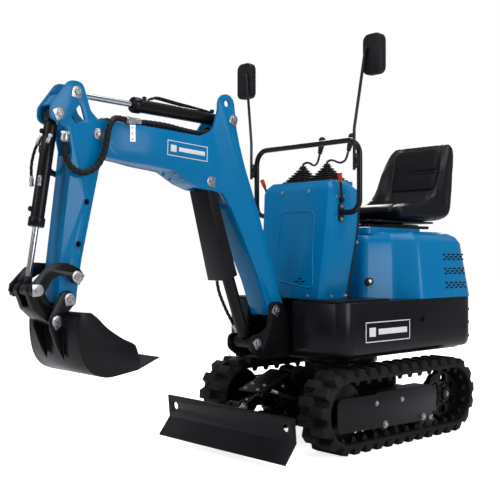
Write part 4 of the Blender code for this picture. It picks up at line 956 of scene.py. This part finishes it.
rail_outer = rail_high.y - rail_radius
half_rail = [(rail_foot_y + 0.002, rail_foot_z)]
half_rail += bend((rail_outer - 0.060, rail_foot_z + 0.060), 0.060, -90, 0)
half_rail += bend((rail_outer - 0.075, rail_high.z - rail_radius - 0.075), 0.075, 0, 90)
rail_route = [Vector((rail_x, y, z)) for y, z in half_rail + [(-y, z) for y, z in half_rail[::-1]]]
rail_tube = tube_along(rail_route, rail_radius, 24)
rail_flanges = []
for sign in (1, -1):
    outline = []
    for cx, cz, start in ((0.005, 0.030, 0), (-0.005, 0.030, 90), (-0.005, -0.030, 180),
                          (0.005, -0.030, 270)):
        outline += [(rail_x + cx + 0.015 * math.cos(math.radians(start + 15 * k)),
                     rail_foot_z + cz + 0.015 * math.sin(math.radians(start + 15 * k))) for k in range(7)]
    low, high = sorted((sign * rail_foot_y, sign * (rail_foot_y + 0.006)))
    rail_flanges.append(cut_plate(outline, [], low, high, 0.001))
placed("bent_guard_rail", mesh_from(joined(rail_tube, *rail_flanges), "bent_guard_rail", 35), rail_black,
       "house", "black_paint", "guard_rail")
bolt_group("guard_rail_bolts", "house",
           [((rail_x, sign * (rail_foot_y + 0.006), rail_foot_z + dz), (0, sign, 0), 0.0068)
            for sign in (1, -1) for dz in (0.031, -0.031)])


def bellows(side):
    """Square boot that steps in at each fold, in a moulded frame on the console's top."""
    low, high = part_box(f"lever_boot_{side}")
    middle = (low + high) / 2
    half = (high.x - low.x) / 2
    shape = bmesh.new()
    levels = [(half, 0.000), (half, 0.006), (half - 0.003, 0.010), (half - 0.010, 0.012)]
    folds = 6
    top = high.z - low.z
    for k in range(folds):
        outer = half - 0.011 - 0.0098 * k
        z = 0.012 + (top - 0.020) * k / folds
        rise = (top - 0.020) / folds
        levels += [(outer - inset, z + rise * part) for inset, part in
                   ((0.009, 0.10), (0.001, 0.40), (0.0, 0.55), (0.001, 0.70), (0.009, 0.98))]
    levels += [(0.014, top - 0.006), (0.013, top)]
    rings = []
    for size, z in levels:
        ring = []
        corner = min(0.018, size * 0.45)
        for cx, cy, start in ((1, 1, 0), (-1, 1, 90), (-1, -1, 180), (1, -1, 270)):
            for k in range(6):
                a = math.radians(start + 18 * k)
                spot = (middle.x + cx * (size - corner) + corner * math.cos(a),
                        middle.y + cy * (size - corner) + corner * math.sin(a), low.z + z)
                ring.append(shape.verts.new(spot))
        rings.append(ring)
    for here, after in zip(rings, rings[1:]):
        for i in range(len(here)):
            j = (i + 1) % len(here)
            shape.faces.new((here[i], here[j], after[j], after[i]))
    shape.faces.new(rings[0][::-1])
    shape.faces.new(rings[-1])
    placed(f"bellows_{side}", mesh_from(shape, f"bellows_{side}", 50), boot_rubber, "house", "boot_rubber",
           f"lever_boot_{side}")
    frame_shape = cut_plate([(middle.x + sx * (half + 0.004), middle.y + sy * (half + 0.004))
                             for sx, sy in ((1, 1), (-1, 1), (-1, -1), (1, -1))],
                            [], low.z - 0.0002, low.z + 0.003, 0.0008, across="z")
    placed(f"bellows_frame_{side}", mesh_from(frame_shape, f"bellows_frame_{side}"), moulded_black, "house",
           "black_plastic")


def club_grip(side):
    """Moulded grip, swelling towards its rounded head, with a collar and finger ridges."""
    target = frame["nodes"][f"joystick_grip_{side}"]
    points = [v.co.copy() for v in target.data.vertices]
    foot = min(points, key=lambda p: p.z)
    low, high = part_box(f"joystick_grip_{side}")
    sign = 1 if low.y > 0 else -1
    way = Vector((-0.030, sign * 0.005, 0.095)).normalized()
    base = [p for p in points if (p - foot).dot(way) < 0.004]
    start = sum(base, Vector()) / len(base)
    turn, _ = axis_frame(start, start + way)
    profile = [(0.0085, 0.001), (0.0115, 0.003), (0.0118, 0.008), (0.0105, 0.010)]
    for k in range(5):
        z = 0.012 + 0.008 * k
        r = 0.0116 + 0.0009 * k
        profile += [(r, z), (r + 0.0012, z + 0.004), (r, z + 0.0075)]
    profile += [(0.0165, 0.058), (0.0185, 0.068), (0.0192, 0.078), (0.0180, 0.087), (0.0135, 0.0935),
                (0.0060, 0.0958)]
    grip = turned(profile, (0, 0, 0), "z", 28)
    bmesh.ops.transform(grip, matrix=turn, verts=grip.verts)
    placed(f"club_grip_{side}", mesh_from(grip, f"club_grip_{side}", 45), moulded_black, "house",
           "black_plastic", f"joystick_grip_{side}")


for side, sign in (("left", 1), ("right", -1)):
    bellows(side)
    dressed(f"joystick_{side}", "house", rail_black, "black_paint", 0.0004)
    club_grip(side)
    dressed(f"centre_lever_{side}", "house", moulded_black, "black_plastic", 0.0005, 40)
    dressed(f"side_lever_{side}", "house", rail_black, "black_paint", 0.0006)
    dressed(f"lever_tip_{side}", "house", red_plastic, "red_plastic", 0.003)
    dressed(f"mirror_stem_{side}", "house", rail_black, "black_paint", 0.0006)
    dressed(f"mirror_head_{side}", "house", moulded_black, "black_plastic", 0.006)
    clamp_x = rail_x + rail_radius + 0.020
    bolt_group(f"mirror_clamp_bolts_{side}", "house",
               [((clamp_x, sign * rail_outer, z), (1, 0, 0), 0.0058) for z in (1.350, 1.390)])

# ---- Seat ----------------------------------------------------------------------------------------
# A one-piece padded seat with side wings, in glossy black vinyl over foam. It is inflated a little like
# stretched cloth, then its stitched channels are pressed in, and it stands on two steel slides.
vinyl = finish("black_vinyl", (0.006, 0.006, 0.008), 0.36, coat=0.0, cloud=0.10, cloud_size=9, grain=0.28,
               grain_size=420, grain_depth=0.0006, edge=0.002)
dressed("seat_slide", "house", frame_black, "black_paint", 0.001)

# The padding's upper face and its underside, as x and z from the slew axis, from the front lip up to the
# top of the back, with the half width and the rise of the side wings at the same steps.
seat_front = [(-0.234, 1.134), (-0.222, 1.162), (-0.238, 1.186), (-0.296, 1.190), (-0.380, 1.182),
              (-0.460, 1.180), (-0.540, 1.196), (-0.596, 1.240), (-0.630, 1.310), (-0.650, 1.390),
              (-0.670, 1.470), (-0.690, 1.530), (-0.706, 1.560)]
seat_back = [(-0.246, 1.124), (-0.262, 1.116), (-0.300, 1.116), (-0.350, 1.115), (-0.430, 1.115),
             (-0.520, 1.115), (-0.620, 1.120), (-0.684, 1.150), (-0.700, 1.250), (-0.712, 1.350),
             (-0.728, 1.440), (-0.742, 1.520), (-0.738, 1.548)]
seat_half = [0.212, 0.220, 0.226, 0.229, 0.231, 0.233, 0.236, 0.238, 0.238, 0.234, 0.226, 0.212, 0.188]
seat_wing = [0.000, 0.000, 0.004, 0.010, 0.022, 0.040, 0.060, 0.068, 0.060, 0.042, 0.020, 0.006, 0.000]


def along_list(values, t):
    """Smooth value between evenly spaced ones; t runs from 0 to 1."""
    place = t * (len(values) - 1)
    k = min(int(place), len(values) - 2)
    near = [values[min(max(i, 0), len(values) - 1)] for i in (k - 1, k, k + 1, k + 2)]
    if isinstance(values[0], tuple):
        near = [Vector(value) for value in near]
    return between(*near, place - k)


def smooth_step(value):
    """0 below 0, 1 above 1, and an easy slope between."""
    value = min(1, max(0, value))
    return value * value * (3 - 2 * value)


def seat_solid():
    """Closed seat: a ring round the padding at each step from the front lip up to the top of the back."""
    shape = bmesh.new()
    rings = []
    steps, across = 64, 30
    for k in range(steps + 1):
        t = k / steps
        front, back = along_list(seat_front, t), along_list(seat_back, t)
        half, wing = along_list(seat_half, t), along_list(seat_wing, t)
        way = (front - back).normalized()
        ring = []
        for turn in range(2 * across):
            angle = math.pi * turn / across
            c, s = math.cos(angle), math.sin(angle)
            v = math.copysign(abs(c) ** 0.42, c)
            depth = math.copysign(abs(s) ** 0.42, s)
            mid = (front + back) / 2
            reach = (front - back).length / 2
            raise_by = wing * smooth_step((abs(v) - 0.66) / 0.22) if s > 0 else 0.0
            spot = mid + way * (reach * depth + raise_by)
            ring.append(shape.verts.new((slew.x + spot.x, half * v, spot.y)))
        rings.append(ring)
    for here, after in zip(rings, rings[1:]):
        for i in range(2 * across):
            j = (i + 1) % (2 * across)
            shape.faces.new((here[i], here[j], after[j], after[i]))
    shape.faces.new(rings[0][::-1])
    shape.faces.new(rings[-1])
    bmesh.ops.recalc_face_normals(shape, faces=shape.faces)
    mesh = bpy.data.meshes.new("padded_seat")
    shape.to_mesh(mesh)
    shape.free()
    return mesh


def padded_mesh(mesh, voxel, pressure, cap, frames):
    """Even mesh, inflated as cloth with a limit on how far a point may move, then subdivided."""
    holder = bpy.data.objects.new("padding", mesh)
    bpy.context.scene.collection.objects.link(holder)
    even = holder.modifiers.new("even", "REMESH")
    even.mode = "VOXEL"
    even.voxel_size = voxel
    holder.data = evaluated_copy(holder)
    holder.modifiers.clear()
    rest = [v.co.copy() for v in holder.data.vertices]
    cloth = holder.modifiers.new("inflated", "CLOTH")
    cloth.settings.quality = 6
    cloth.settings.use_pressure = True
    cloth.settings.uniform_pressure_force = pressure
    cloth.settings.effector_weights.gravity = 0
    cloth.collision_settings.use_collision = False
    cloth.point_cache.frame_start = 1
    cloth.point_cache.frame_end = frames
    for step in range(1, frames + 1):
        bpy.context.scene.frame_set(step)
    inflated = evaluated_copy(holder)
    holder.modifiers.clear()
    for vertex, start, end in zip(holder.data.vertices, rest, inflated.vertices):
        move = end.co - start
        vertex.co = start + (move * cap / move.length if move.length > cap else move)
    bpy.context.scene.frame_set(1)
    relaxed = holder.modifiers.new("relaxed", "SMOOTH")
    relaxed.factor = 0.5
    relaxed.iterations = 3
    finer = holder.modifiers.new("finer", "SUBSURF")
    finer.levels = finer.render_levels = 1
    made = evaluated_copy(holder)
    bpy.data.objects.remove(holder, do_unlink=True)
    return made


def groove(distance, width, depth):
    """How far a stitched channel presses in at a distance from its middle."""
    return depth * math.exp(-(distance / width) ** 2)


def stitched_seat():
    """The inflated seat with its seams pressed in: one down each side, and several across the insert."""
    mesh = padded_mesh(seat_solid(), 0.0075, 4, 0.006, 20)
    mesh.name = "padded_seat"
    normals = [v.normal.copy() for v in mesh.vertices]
    for vertex, normal in zip(mesh.vertices, normals):
        x, y, z = vertex.co.x - slew.x, vertex.co.y, vertex.co.z
        facing = Vector((0.35, 0, 0.94)) if z < 1.22 else Vector((0.97, 0, 0.24))
        if normal.dot(facing) < 0.25:
            continue
        edge = 0.150 if z < 1.24 else 0.150 - 0.10 * max(0, 1.33 - z)
        inside = smooth_step((edge + 0.006 - abs(y)) / 0.02 + 0.5)
        press = groove(abs(y) - edge, 0.005, 0.0085) + groove(abs(y) - edge, 0.020, 0.0035)
        if z > 1.24:
            low_seam = groove(z - 1.291, 0.005, 0.0080) + groove(z - 1.291, 0.020, 0.0035)
            hollow = groove(z - 1.394, 0.022, 0.0035)
            under_welt = groove(z - 1.383, 0.0045, 0.0070) + hollow
            over_welt = groove(z - 1.403, 0.0045, 0.0070) + hollow
            press = max(press, inside * low_seam, inside * under_welt, inside * over_welt)
        elif x > -0.55:
            front_seam, rear_seam = groove(x + 0.335, 0.005, 0.006), groove(x + 0.445, 0.005, 0.006)
            press = max(press, inside * front_seam, inside * rear_seam)
        vertex.co -= normal * press
    mesh.shade_smooth()
    cushion = placed("padded_seat", mesh, vinyl, "house", "vinyl", "seat")


stitched_seat()

# ---- Boom, stick and bucket linkage --------------------------------------------------------------
# Box sections welded from blue-painted plate. Black forged links carry the bucket, and every pin is held
# by a zinc flag with one bolt; the bucket is folded black plate with a thick lip.
dressed("boom", "boom", blue_gloss, "blue_paint", 0.0032)
dressed("stick", "stick", blue_gloss, "blue_paint", 0.0026)
dressed("boom_cylinder_guard", "boom", plate_black, "black_paint", 0.0014)
dressed("rocker_link", "rocker", frame_black, "black_paint", 0.003)
dressed("coupler_link", "coupler", frame_black, "black_paint", 0.003)


def curved(points):
    """Smooth outline through x and z points, measured from the slew axis."""
    return [(slew.x + p.x, p.y) for p in curve_through(points, 5)]


# The bucket's two side sheets follow one outline, and its floor is a sheet bent along their back edge that
# runs on into the cutting lip. Two ears on the back take the pins.
bucket_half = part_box("bucket")[1].y
back_curve = curved([(1.676, 0.703), (1.692, 0.697), (1.7008, 0.655), (1.698, 0.590), (1.683, 0.524),
                     (1.653, 0.478), (1.612, 0.454), (1.566, 0.4445), (1.515, 0.449)])
back_curve.append((slew.x + 1.426, 0.462))
side_front = curved([(1.418, 0.480), (1.418, 0.503), (1.433, 0.550), (1.448, 0.569), (1.504, 0.595),
                     (1.570, 0.637), (1.614, 0.677), (1.645, 0.700)])
bucket_parts = []
for sign in (1, -1):
    near, far = sorted((sign * (bucket_half - 0.008), sign * bucket_half))
    bucket_parts.append(cut_plate(back_curve + side_front, [], near, far, 0.0010))
    ear = rounded([(1.640, 0.735, 0.02), (1.655, 0.783, 0.024), (1.700, 0.778, 0.024), (1.758, 0.680, 0.022),
                   (1.752, 0.636, 0.020), (1.722, 0.560), (1.693, 0.510), (1.688, 0.560), (1.692, 0.640),
                   (1.686, 0.696), (1.668, 0.704)], 8)
    near, far = sorted((sign * 0.059, sign * 0.071))
    bucket_parts.append(cut_plate([(slew.x + x, z) for x, z in ear], [], near, far, 0.0014))
lip_end = from_slew(1.319, 0, 0.504)
outer_skin = back_curve + [(lip_end.x, lip_end.z)]
inner_skin = []
for i, (x, z) in enumerate(outer_skin):
    ax, az = outer_skin[min(i + 1, len(outer_skin) - 1)]
    bx, bz = outer_skin[max(i - 1, 0)]
    way = Vector((ax - bx, az - bz)).normalized()
    inner_skin.append((x + way.y * 0.007, z - way.x * 0.007))
inner_skin[-1] = (lip_end.x + 0.004, lip_end.z + 0.0035)
bucket_parts.append(cut_plate(outer_skin + inner_skin[::-1], [], -bucket_half + 0.001, bucket_half - 0.001,
                              0.0006))
pin_x, pin_z = pin("bucket_curl")
bucket_parts.append(turned([(0.0145, -0.058), (0.0145, 0.058)], (pin_x, 0, pin_z), "y", 24))
placed("welded_bucket", mesh_from(joined(*bucket_parts), "welded_bucket", 30), skirt_black, "bucket",
       "black_paint", "bucket")

boom_half, stick_half, rocker_out, bucket_ear_out = 0.065, 0.055, 0.0885, 0.071
arm_cylinder_far = (slew.x + 1.627, 1.570)
boom_cylinder_far = (slew.x + 0.942, 1.251)
coupler_pin = (slew.x + 1.724, 0.664)
flags("boom_flags", "boom",
      [(pin("arm_cylinder_swing"), sign * (boom_half + 0.0002), sign, 2.0) for sign in (1, -1)]
      + [(boom_cylinder_far, sign * boom_half, sign, 0.1) for sign in (1, -1)])
flags("stick_flags", "stick", [(arm_cylinder_far, sign * stick_half, sign, 1.7) for sign in (1, -1)]
      + [(pin("bucket_cylinder_swing"), sign * stick_half, sign, 2.7) for sign in (1, -1)])
flags("rocker_flags", "rocker", [(pin("rocker_swing"), sign * rocker_out, sign, 0.6) for sign in (1, -1)]
      + [(pin("coupler_swing"), sign * rocker_out, sign, 3.1) for sign in (1, -1)])
flags("bucket_flags", "bucket", [(pin("bucket_curl"), sign * bucket_ear_out, sign, 1.4) for sign in (1, -1)]
      + [(coupler_pin, sign * bucket_ear_out, sign, 1.0) for sign in (1, -1)])

domes = []
for sign in (1, -1):
    x, z = pin("stick_swing")
    dome = turned([(0.024, 0), (0.024, 0.003), (0.022, 0.005), (0.017, 0.005), (0.015, 0.009), (0.010, 0.012),
                   (0.003, 0.013)], (0, 0, 0), "y", 32)
    if sign < 0:
        bmesh.ops.scale(dome, vec=(1, -1, 1), verts=dome.verts)
    bmesh.ops.translate(dome, vec=(x, sign * stick_half, z), verts=dome.verts)
    domes.append(dome)
placed("stick_pin_heads", mesh_from(joined(*domes), "stick_pin_heads", 40), zinc, "stick", "chrome")


def weld(name, body, points, radius, material, slot_name):
    """Run of weld with the small ripples of each pass, on a route of points."""
    route = smooth_path([from_slew(*p) for p in points], 0.0016)
    shape = tube_along(route, radius, 8, radius * 0.14, 0.0)
    for i, vertex in enumerate(shape.verts):
        vertex.co += Vector((0, 0.0004 * math.sin(i * 0.31), 0))
    placed(name, mesh_from(shape, name, 60), material, body, slot_name)


for sign, side in ((1, "left"), (-1, "right")):
    seam = ((1.564, 1.115), (1.573, 1.088), (1.587, 1.028), (1.601, 0.966), (1.618, 0.880), (1.632, 0.800))
    weld(f"stick_weld_{side}", "stick", [(x, sign * 0.0551, z) for x, z in seam], 0.0028, blue_gloss,
         "blue_paint")
    seam = ((1.694, 0.690), (1.699, 0.640), (1.700, 0.590), (1.696, 0.535))
    weld(f"bucket_ear_weld_{side}", "bucket", [(x, sign * 0.0725, z) for x, z in seam], 0.0032, skirt_black,
         "black_paint")


def boom_spot(x, z, sign, lift=0.0):
    """Point on one of the boom's sides at that place."""
    spot, normal = surface_at("boom", (slew.x + x, sign * 0.4, z), (0, -sign, 0))
    return spot + normal * lift, normal


# A zinc strap with three bolts holds the hoses on each side of the boom's nose.
clamp_parts = bmesh.new()
for sign in (1, -1):
    spot, normal = boom_spot(1.356, 1.430, sign)
    turn = normal.to_track_quat("Z", "Y").to_matrix().to_4x4()
    turn.translation = spot + normal * 0.0015
    strap = bmesh.ops.create_cube(clamp_parts, size=1.0)["verts"]
    bmesh.ops.scale(clamp_parts, vec=(0.024, 0.070, 0.003), verts=strap)
    bmesh.ops.transform(clamp_parts, matrix=turn, verts=strap)
    for dz in (-0.024, 0.0, 0.024):
        place, way = boom_spot(1.356, 1.430 + dz, sign, 0.003)
        hexagon_bolt(clamp_parts, place, way, 0.0045, False)
placed("hose_clamps", mesh_from(clamp_parts, "hose_clamps", 30), zinc, "boom", "chrome")
bolt_group("boom_underside_bolts", "boom",
           [(from_slew(x, y, z), (0.25, 0, -0.97), 0.0048)
            for x, z in ((1.092, 1.2555), (1.128, 1.2745)) for y in (0.045, -0.045)])
# A short plate closes the lower front of the stick's head, and stops where the rod's eye has to pass.
head_low, head_high = Vector((slew.x + 1.742, 1.505)), Vector((slew.x + 1.660, 1.612))
head_way = (head_high - head_low).normalized()
head_out = Vector((head_way.y, -head_way.x))
head_plate = cut_plate([tuple(head_low + head_way * a - head_out * b)
                        for a, b in ((0.012, 0.003), (0.064, 0.003), (0.064, 0.010), (0.012, 0.010))], [],
                       -0.0435, 0.0435, 0.0008)
placed("stick_head_plate", mesh_from(head_plate, "stick_head_plate", 30), blue_gloss, "stick", "blue_paint")
# Black rings round the stick's holes are painted shade: they make the dark inside of each hole read wider
# than the hole is.
hole_shade_rings = []
for sign in (1, -1):
    for x, z in ((1.583, 1.134), (1.621, 0.965)):
        profile = [(0.0086, -0.002), (0.0086, 0.0008), (0.0125, 0.0008), (0.0125, -0.002)]
        hole_shade_rings.append(turned([(radius, sign * along) for radius, along in profile],
                                 (slew.x + x, sign * (stick_half + 0.003), z), "y", 32))
placed("stick_hole_rings", mesh_from(joined(*hole_shade_rings), "stick_hole_rings", 30), frame_black, "stick",
       "black_paint")

# ---- Hoses and pipes -----------------------------------------------------------------------------
# Hydraulic hoses in a wound nylon sleeve, crimped into zinc couplings. The loop at the elbow has one coupling
# on the boom and one on the stick, and hard black pipes run along the cylinders.
sleeve = finish("wound_hose_sleeve", (0.009, 0.009, 0.010), 0.46, cloud=0.3, cloud_size=80, grain=0.5,
                grain_size=1400, grain_depth=0.0005, edge=0.0006)


def hose(name, points, radius, ends=(True, True), body=None, bends=None, wound=True):
    """Hose through points measured from the slew axis, with a crimped coupling at each end."""
    route = smooth_path([from_slew(*p) for p in points], 0.0022)
    tube = tube_along(route, radius, 14, radius * 0.075 if wound else 0.0, 0.55)
    placed_hose = bpy.data.objects.new(name, mesh_from(tube, name, 70))
    bpy.context.scene.collection.objects.link(placed_hose)
    placed_hose.data.materials.append(sleeve if wound else frame_black)
    if bends:
        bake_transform(placed_hose)
    else:
        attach(placed_hose, body)
    for end, wanted in enumerate(ends):
        if not wanted:
            continue
        here, onward = (route[0], route[6]) if end == 0 else (route[-1], route[-7])
        turn, _ = axis_frame(here, onward)
        crimp = turned([(radius * 0.8, -0.012), (radius * 1.25, -0.011), (radius * 1.25, -0.004),
                        (radius * 1.45, -0.003), (radius * 1.45, 0.014), (radius * 1.25, 0.016),
                        (radius * 1.05, 0.020)], (0, 0, 0), "z", 20)
        nut = bmesh.new()
        bmesh.ops.create_cone(nut, cap_ends=True, segments=6, radius1=radius * 1.5, radius2=radius * 1.5,
                              depth=0.010, matrix=Matrix.Translation((0, 0, -0.015)))
        both = joined(crimp, nut)
        bmesh.ops.transform(both, matrix=turn, verts=both.verts)
        rides_on = body if not bends else bends[end]
        coupling = f"{name}_coupling_{end + 1}"
        placed(coupling, mesh_from(both, coupling, 30), zinc, rides_on, "chrome")


loop_y = 0.086
for sign, label in ((1, "near"), (-1, "far")):
    hose(f"elbow_loop_hose_{label}",
         [(1.366, sign * 0.042, 1.481), (1.410, sign * 0.044, 1.486), (1.447, sign * 0.056, 1.482),
          (1.480, sign * 0.080, 1.462), (1.500, sign * loop_y, 1.425), (1.508, sign * loop_y, 1.378),
          (1.524, sign * loop_y, 1.322), (1.558, sign * loop_y, 1.272), (1.609, sign * loop_y, 1.248),
          (1.658, sign * loop_y, 1.256), (1.690, sign * loop_y, 1.291), (1.703, sign * loop_y, 1.344),
          (1.700, sign * loop_y, 1.380)], 0.0125,
         bends=("boom", "stick", from_slew(1.47, 0, 1.46), from_slew(1.70, 0, 1.30)))
for sign, label in ((1, "near"), (-1, "far")):
    hose(f"boom_top_hose_{label}",
         [(1.330, sign * 0.042, 1.481), (1.275, sign * 0.040, 1.484), (1.169, sign * 0.038, 1.482),
          (1.089, sign * 0.034, 1.474), (0.984, sign * 0.030, 1.468), (0.925, sign * 0.030, 1.480),
          (0.880, sign * 0.030, 1.502)], 0.0115, (True, False), "boom")
    hose(f"boom_foot_hose_{label}",
         [(0.545, sign * 0.024, 0.880), (0.500, sign * 0.024, 0.790), (0.462, sign * 0.024, 0.700),
          (0.440, sign * 0.026, 0.600), (0.432, sign * 0.028, 0.520), (0.430, sign * 0.030, 0.446)], 0.0085,
         bends=("boom", "house", from_slew(0.53, 0, 0.86), from_slew(0.44, 0, 0.56)))
for y in (-0.075, 0.075):
    hose(f"blade_hose_{'near' if y > 0 else 'far'}",
         [(0.330, y, 0.262), (0.380, y * 1.15, 0.235), (0.430, y * 1.1, 0.225), (0.480, y * 0.75, 0.245),
          (0.515, y * 0.5, 0.262)], 0.0075,
         bends=("undercarriage", "blade", from_slew(0.33, 0, 0.26), from_slew(0.52, 0, 0.25)))
hose("lift_hose",
     [(0.811, -0.050, 0.820), (0.793, -0.050, 0.747), (0.752, -0.050, 0.667), (0.723, -0.048, 0.619),
      (0.700, -0.040, 0.575)], 0.0075, body="boom_cylinder_barrel")
for y in (0.012, -0.012):
    hose(f"arm_cylinder_pipe_{'near' if y > 0 else 'far'}",
         [(1.232, y, 1.592), (1.197, y, 1.603), (1.093, y, 1.593), (0.980, y, 1.582), (0.897, y, 1.572),
          (0.872, y, 1.560)], 0.0050, (False, False), "arm_cylinder_barrel", wound=False)
    hose(f"bucket_cylinder_pipe_{'near' if y > 0 else 'far'}",
         [(1.742, y * 3.2, 1.373), (1.762, y * 3.2, 1.330), (1.775, y * 3.2, 1.272), (1.778, y * 2.6, 1.210)],
         0.0060, body="bucket_cylinder_barrel")

# ---- Blank labels --------------------------------------------------------------------------------
# Printed films with a plain white border round one bar and one square: no name and no lettering. One is
# stuck on each side of the boom, and one on each side of the lower body.
film_white = finish("label_film_white", (0.82, 0.83, 0.84), 0.35, coat=0.2, cloud=0.03, edge=0.0002)


def blank_label(name, body, corners, y, outward, slot_name):
    """Border, bar and square between four corners given as x and z, low rear first."""
    a, b, c, d = (Vector(p) for p in corners)

    def at(u, v):
        spot = a.lerp(b, u).lerp(d.lerp(c, u), v)
        return slew.x + spot.x, spot.y

    low, high = sorted((y - outward * 0.0004, y + outward * 0.0005))
    edge_u, edge_v = 0.014, 0.045
    bars = [(0, 0, 1, edge_v), (0, 1 - edge_v, 1, 1), (0, edge_v, edge_u, 1 - edge_v),
            (1 - edge_u, edge_v, 1, 1 - edge_v), (0.07, 0.36, 0.72, 0.64), (0.78, 0.28, 0.92, 0.72)]
    pieces = []
    for u0, v0, u1, v1 in bars:
        pieces.append(cut_plate([at(u0, v0), at(u1, v0), at(u1, v1), at(u0, v1)], [], low, high, 0.0001))
    placed(name, mesh_from(joined(*pieces), name), film_white, body, slot_name)


for sign, label in ((1, "left"), (-1, "right")):
    blank_label(f"boom_label_{label}", "boom",
                [(0.962, 1.338), (1.186, 1.352), (1.184, 1.418), (0.960, 1.404)], sign * boom_half, sign,
                "black_plastic")
    blank_label(f"body_label_{label}", "house",
                [(-0.060, 0.507), (0.280, 0.507), (0.280, 0.604), (-0.060, 0.604)], sign * body_high.y, sign,
                "black_plastic")
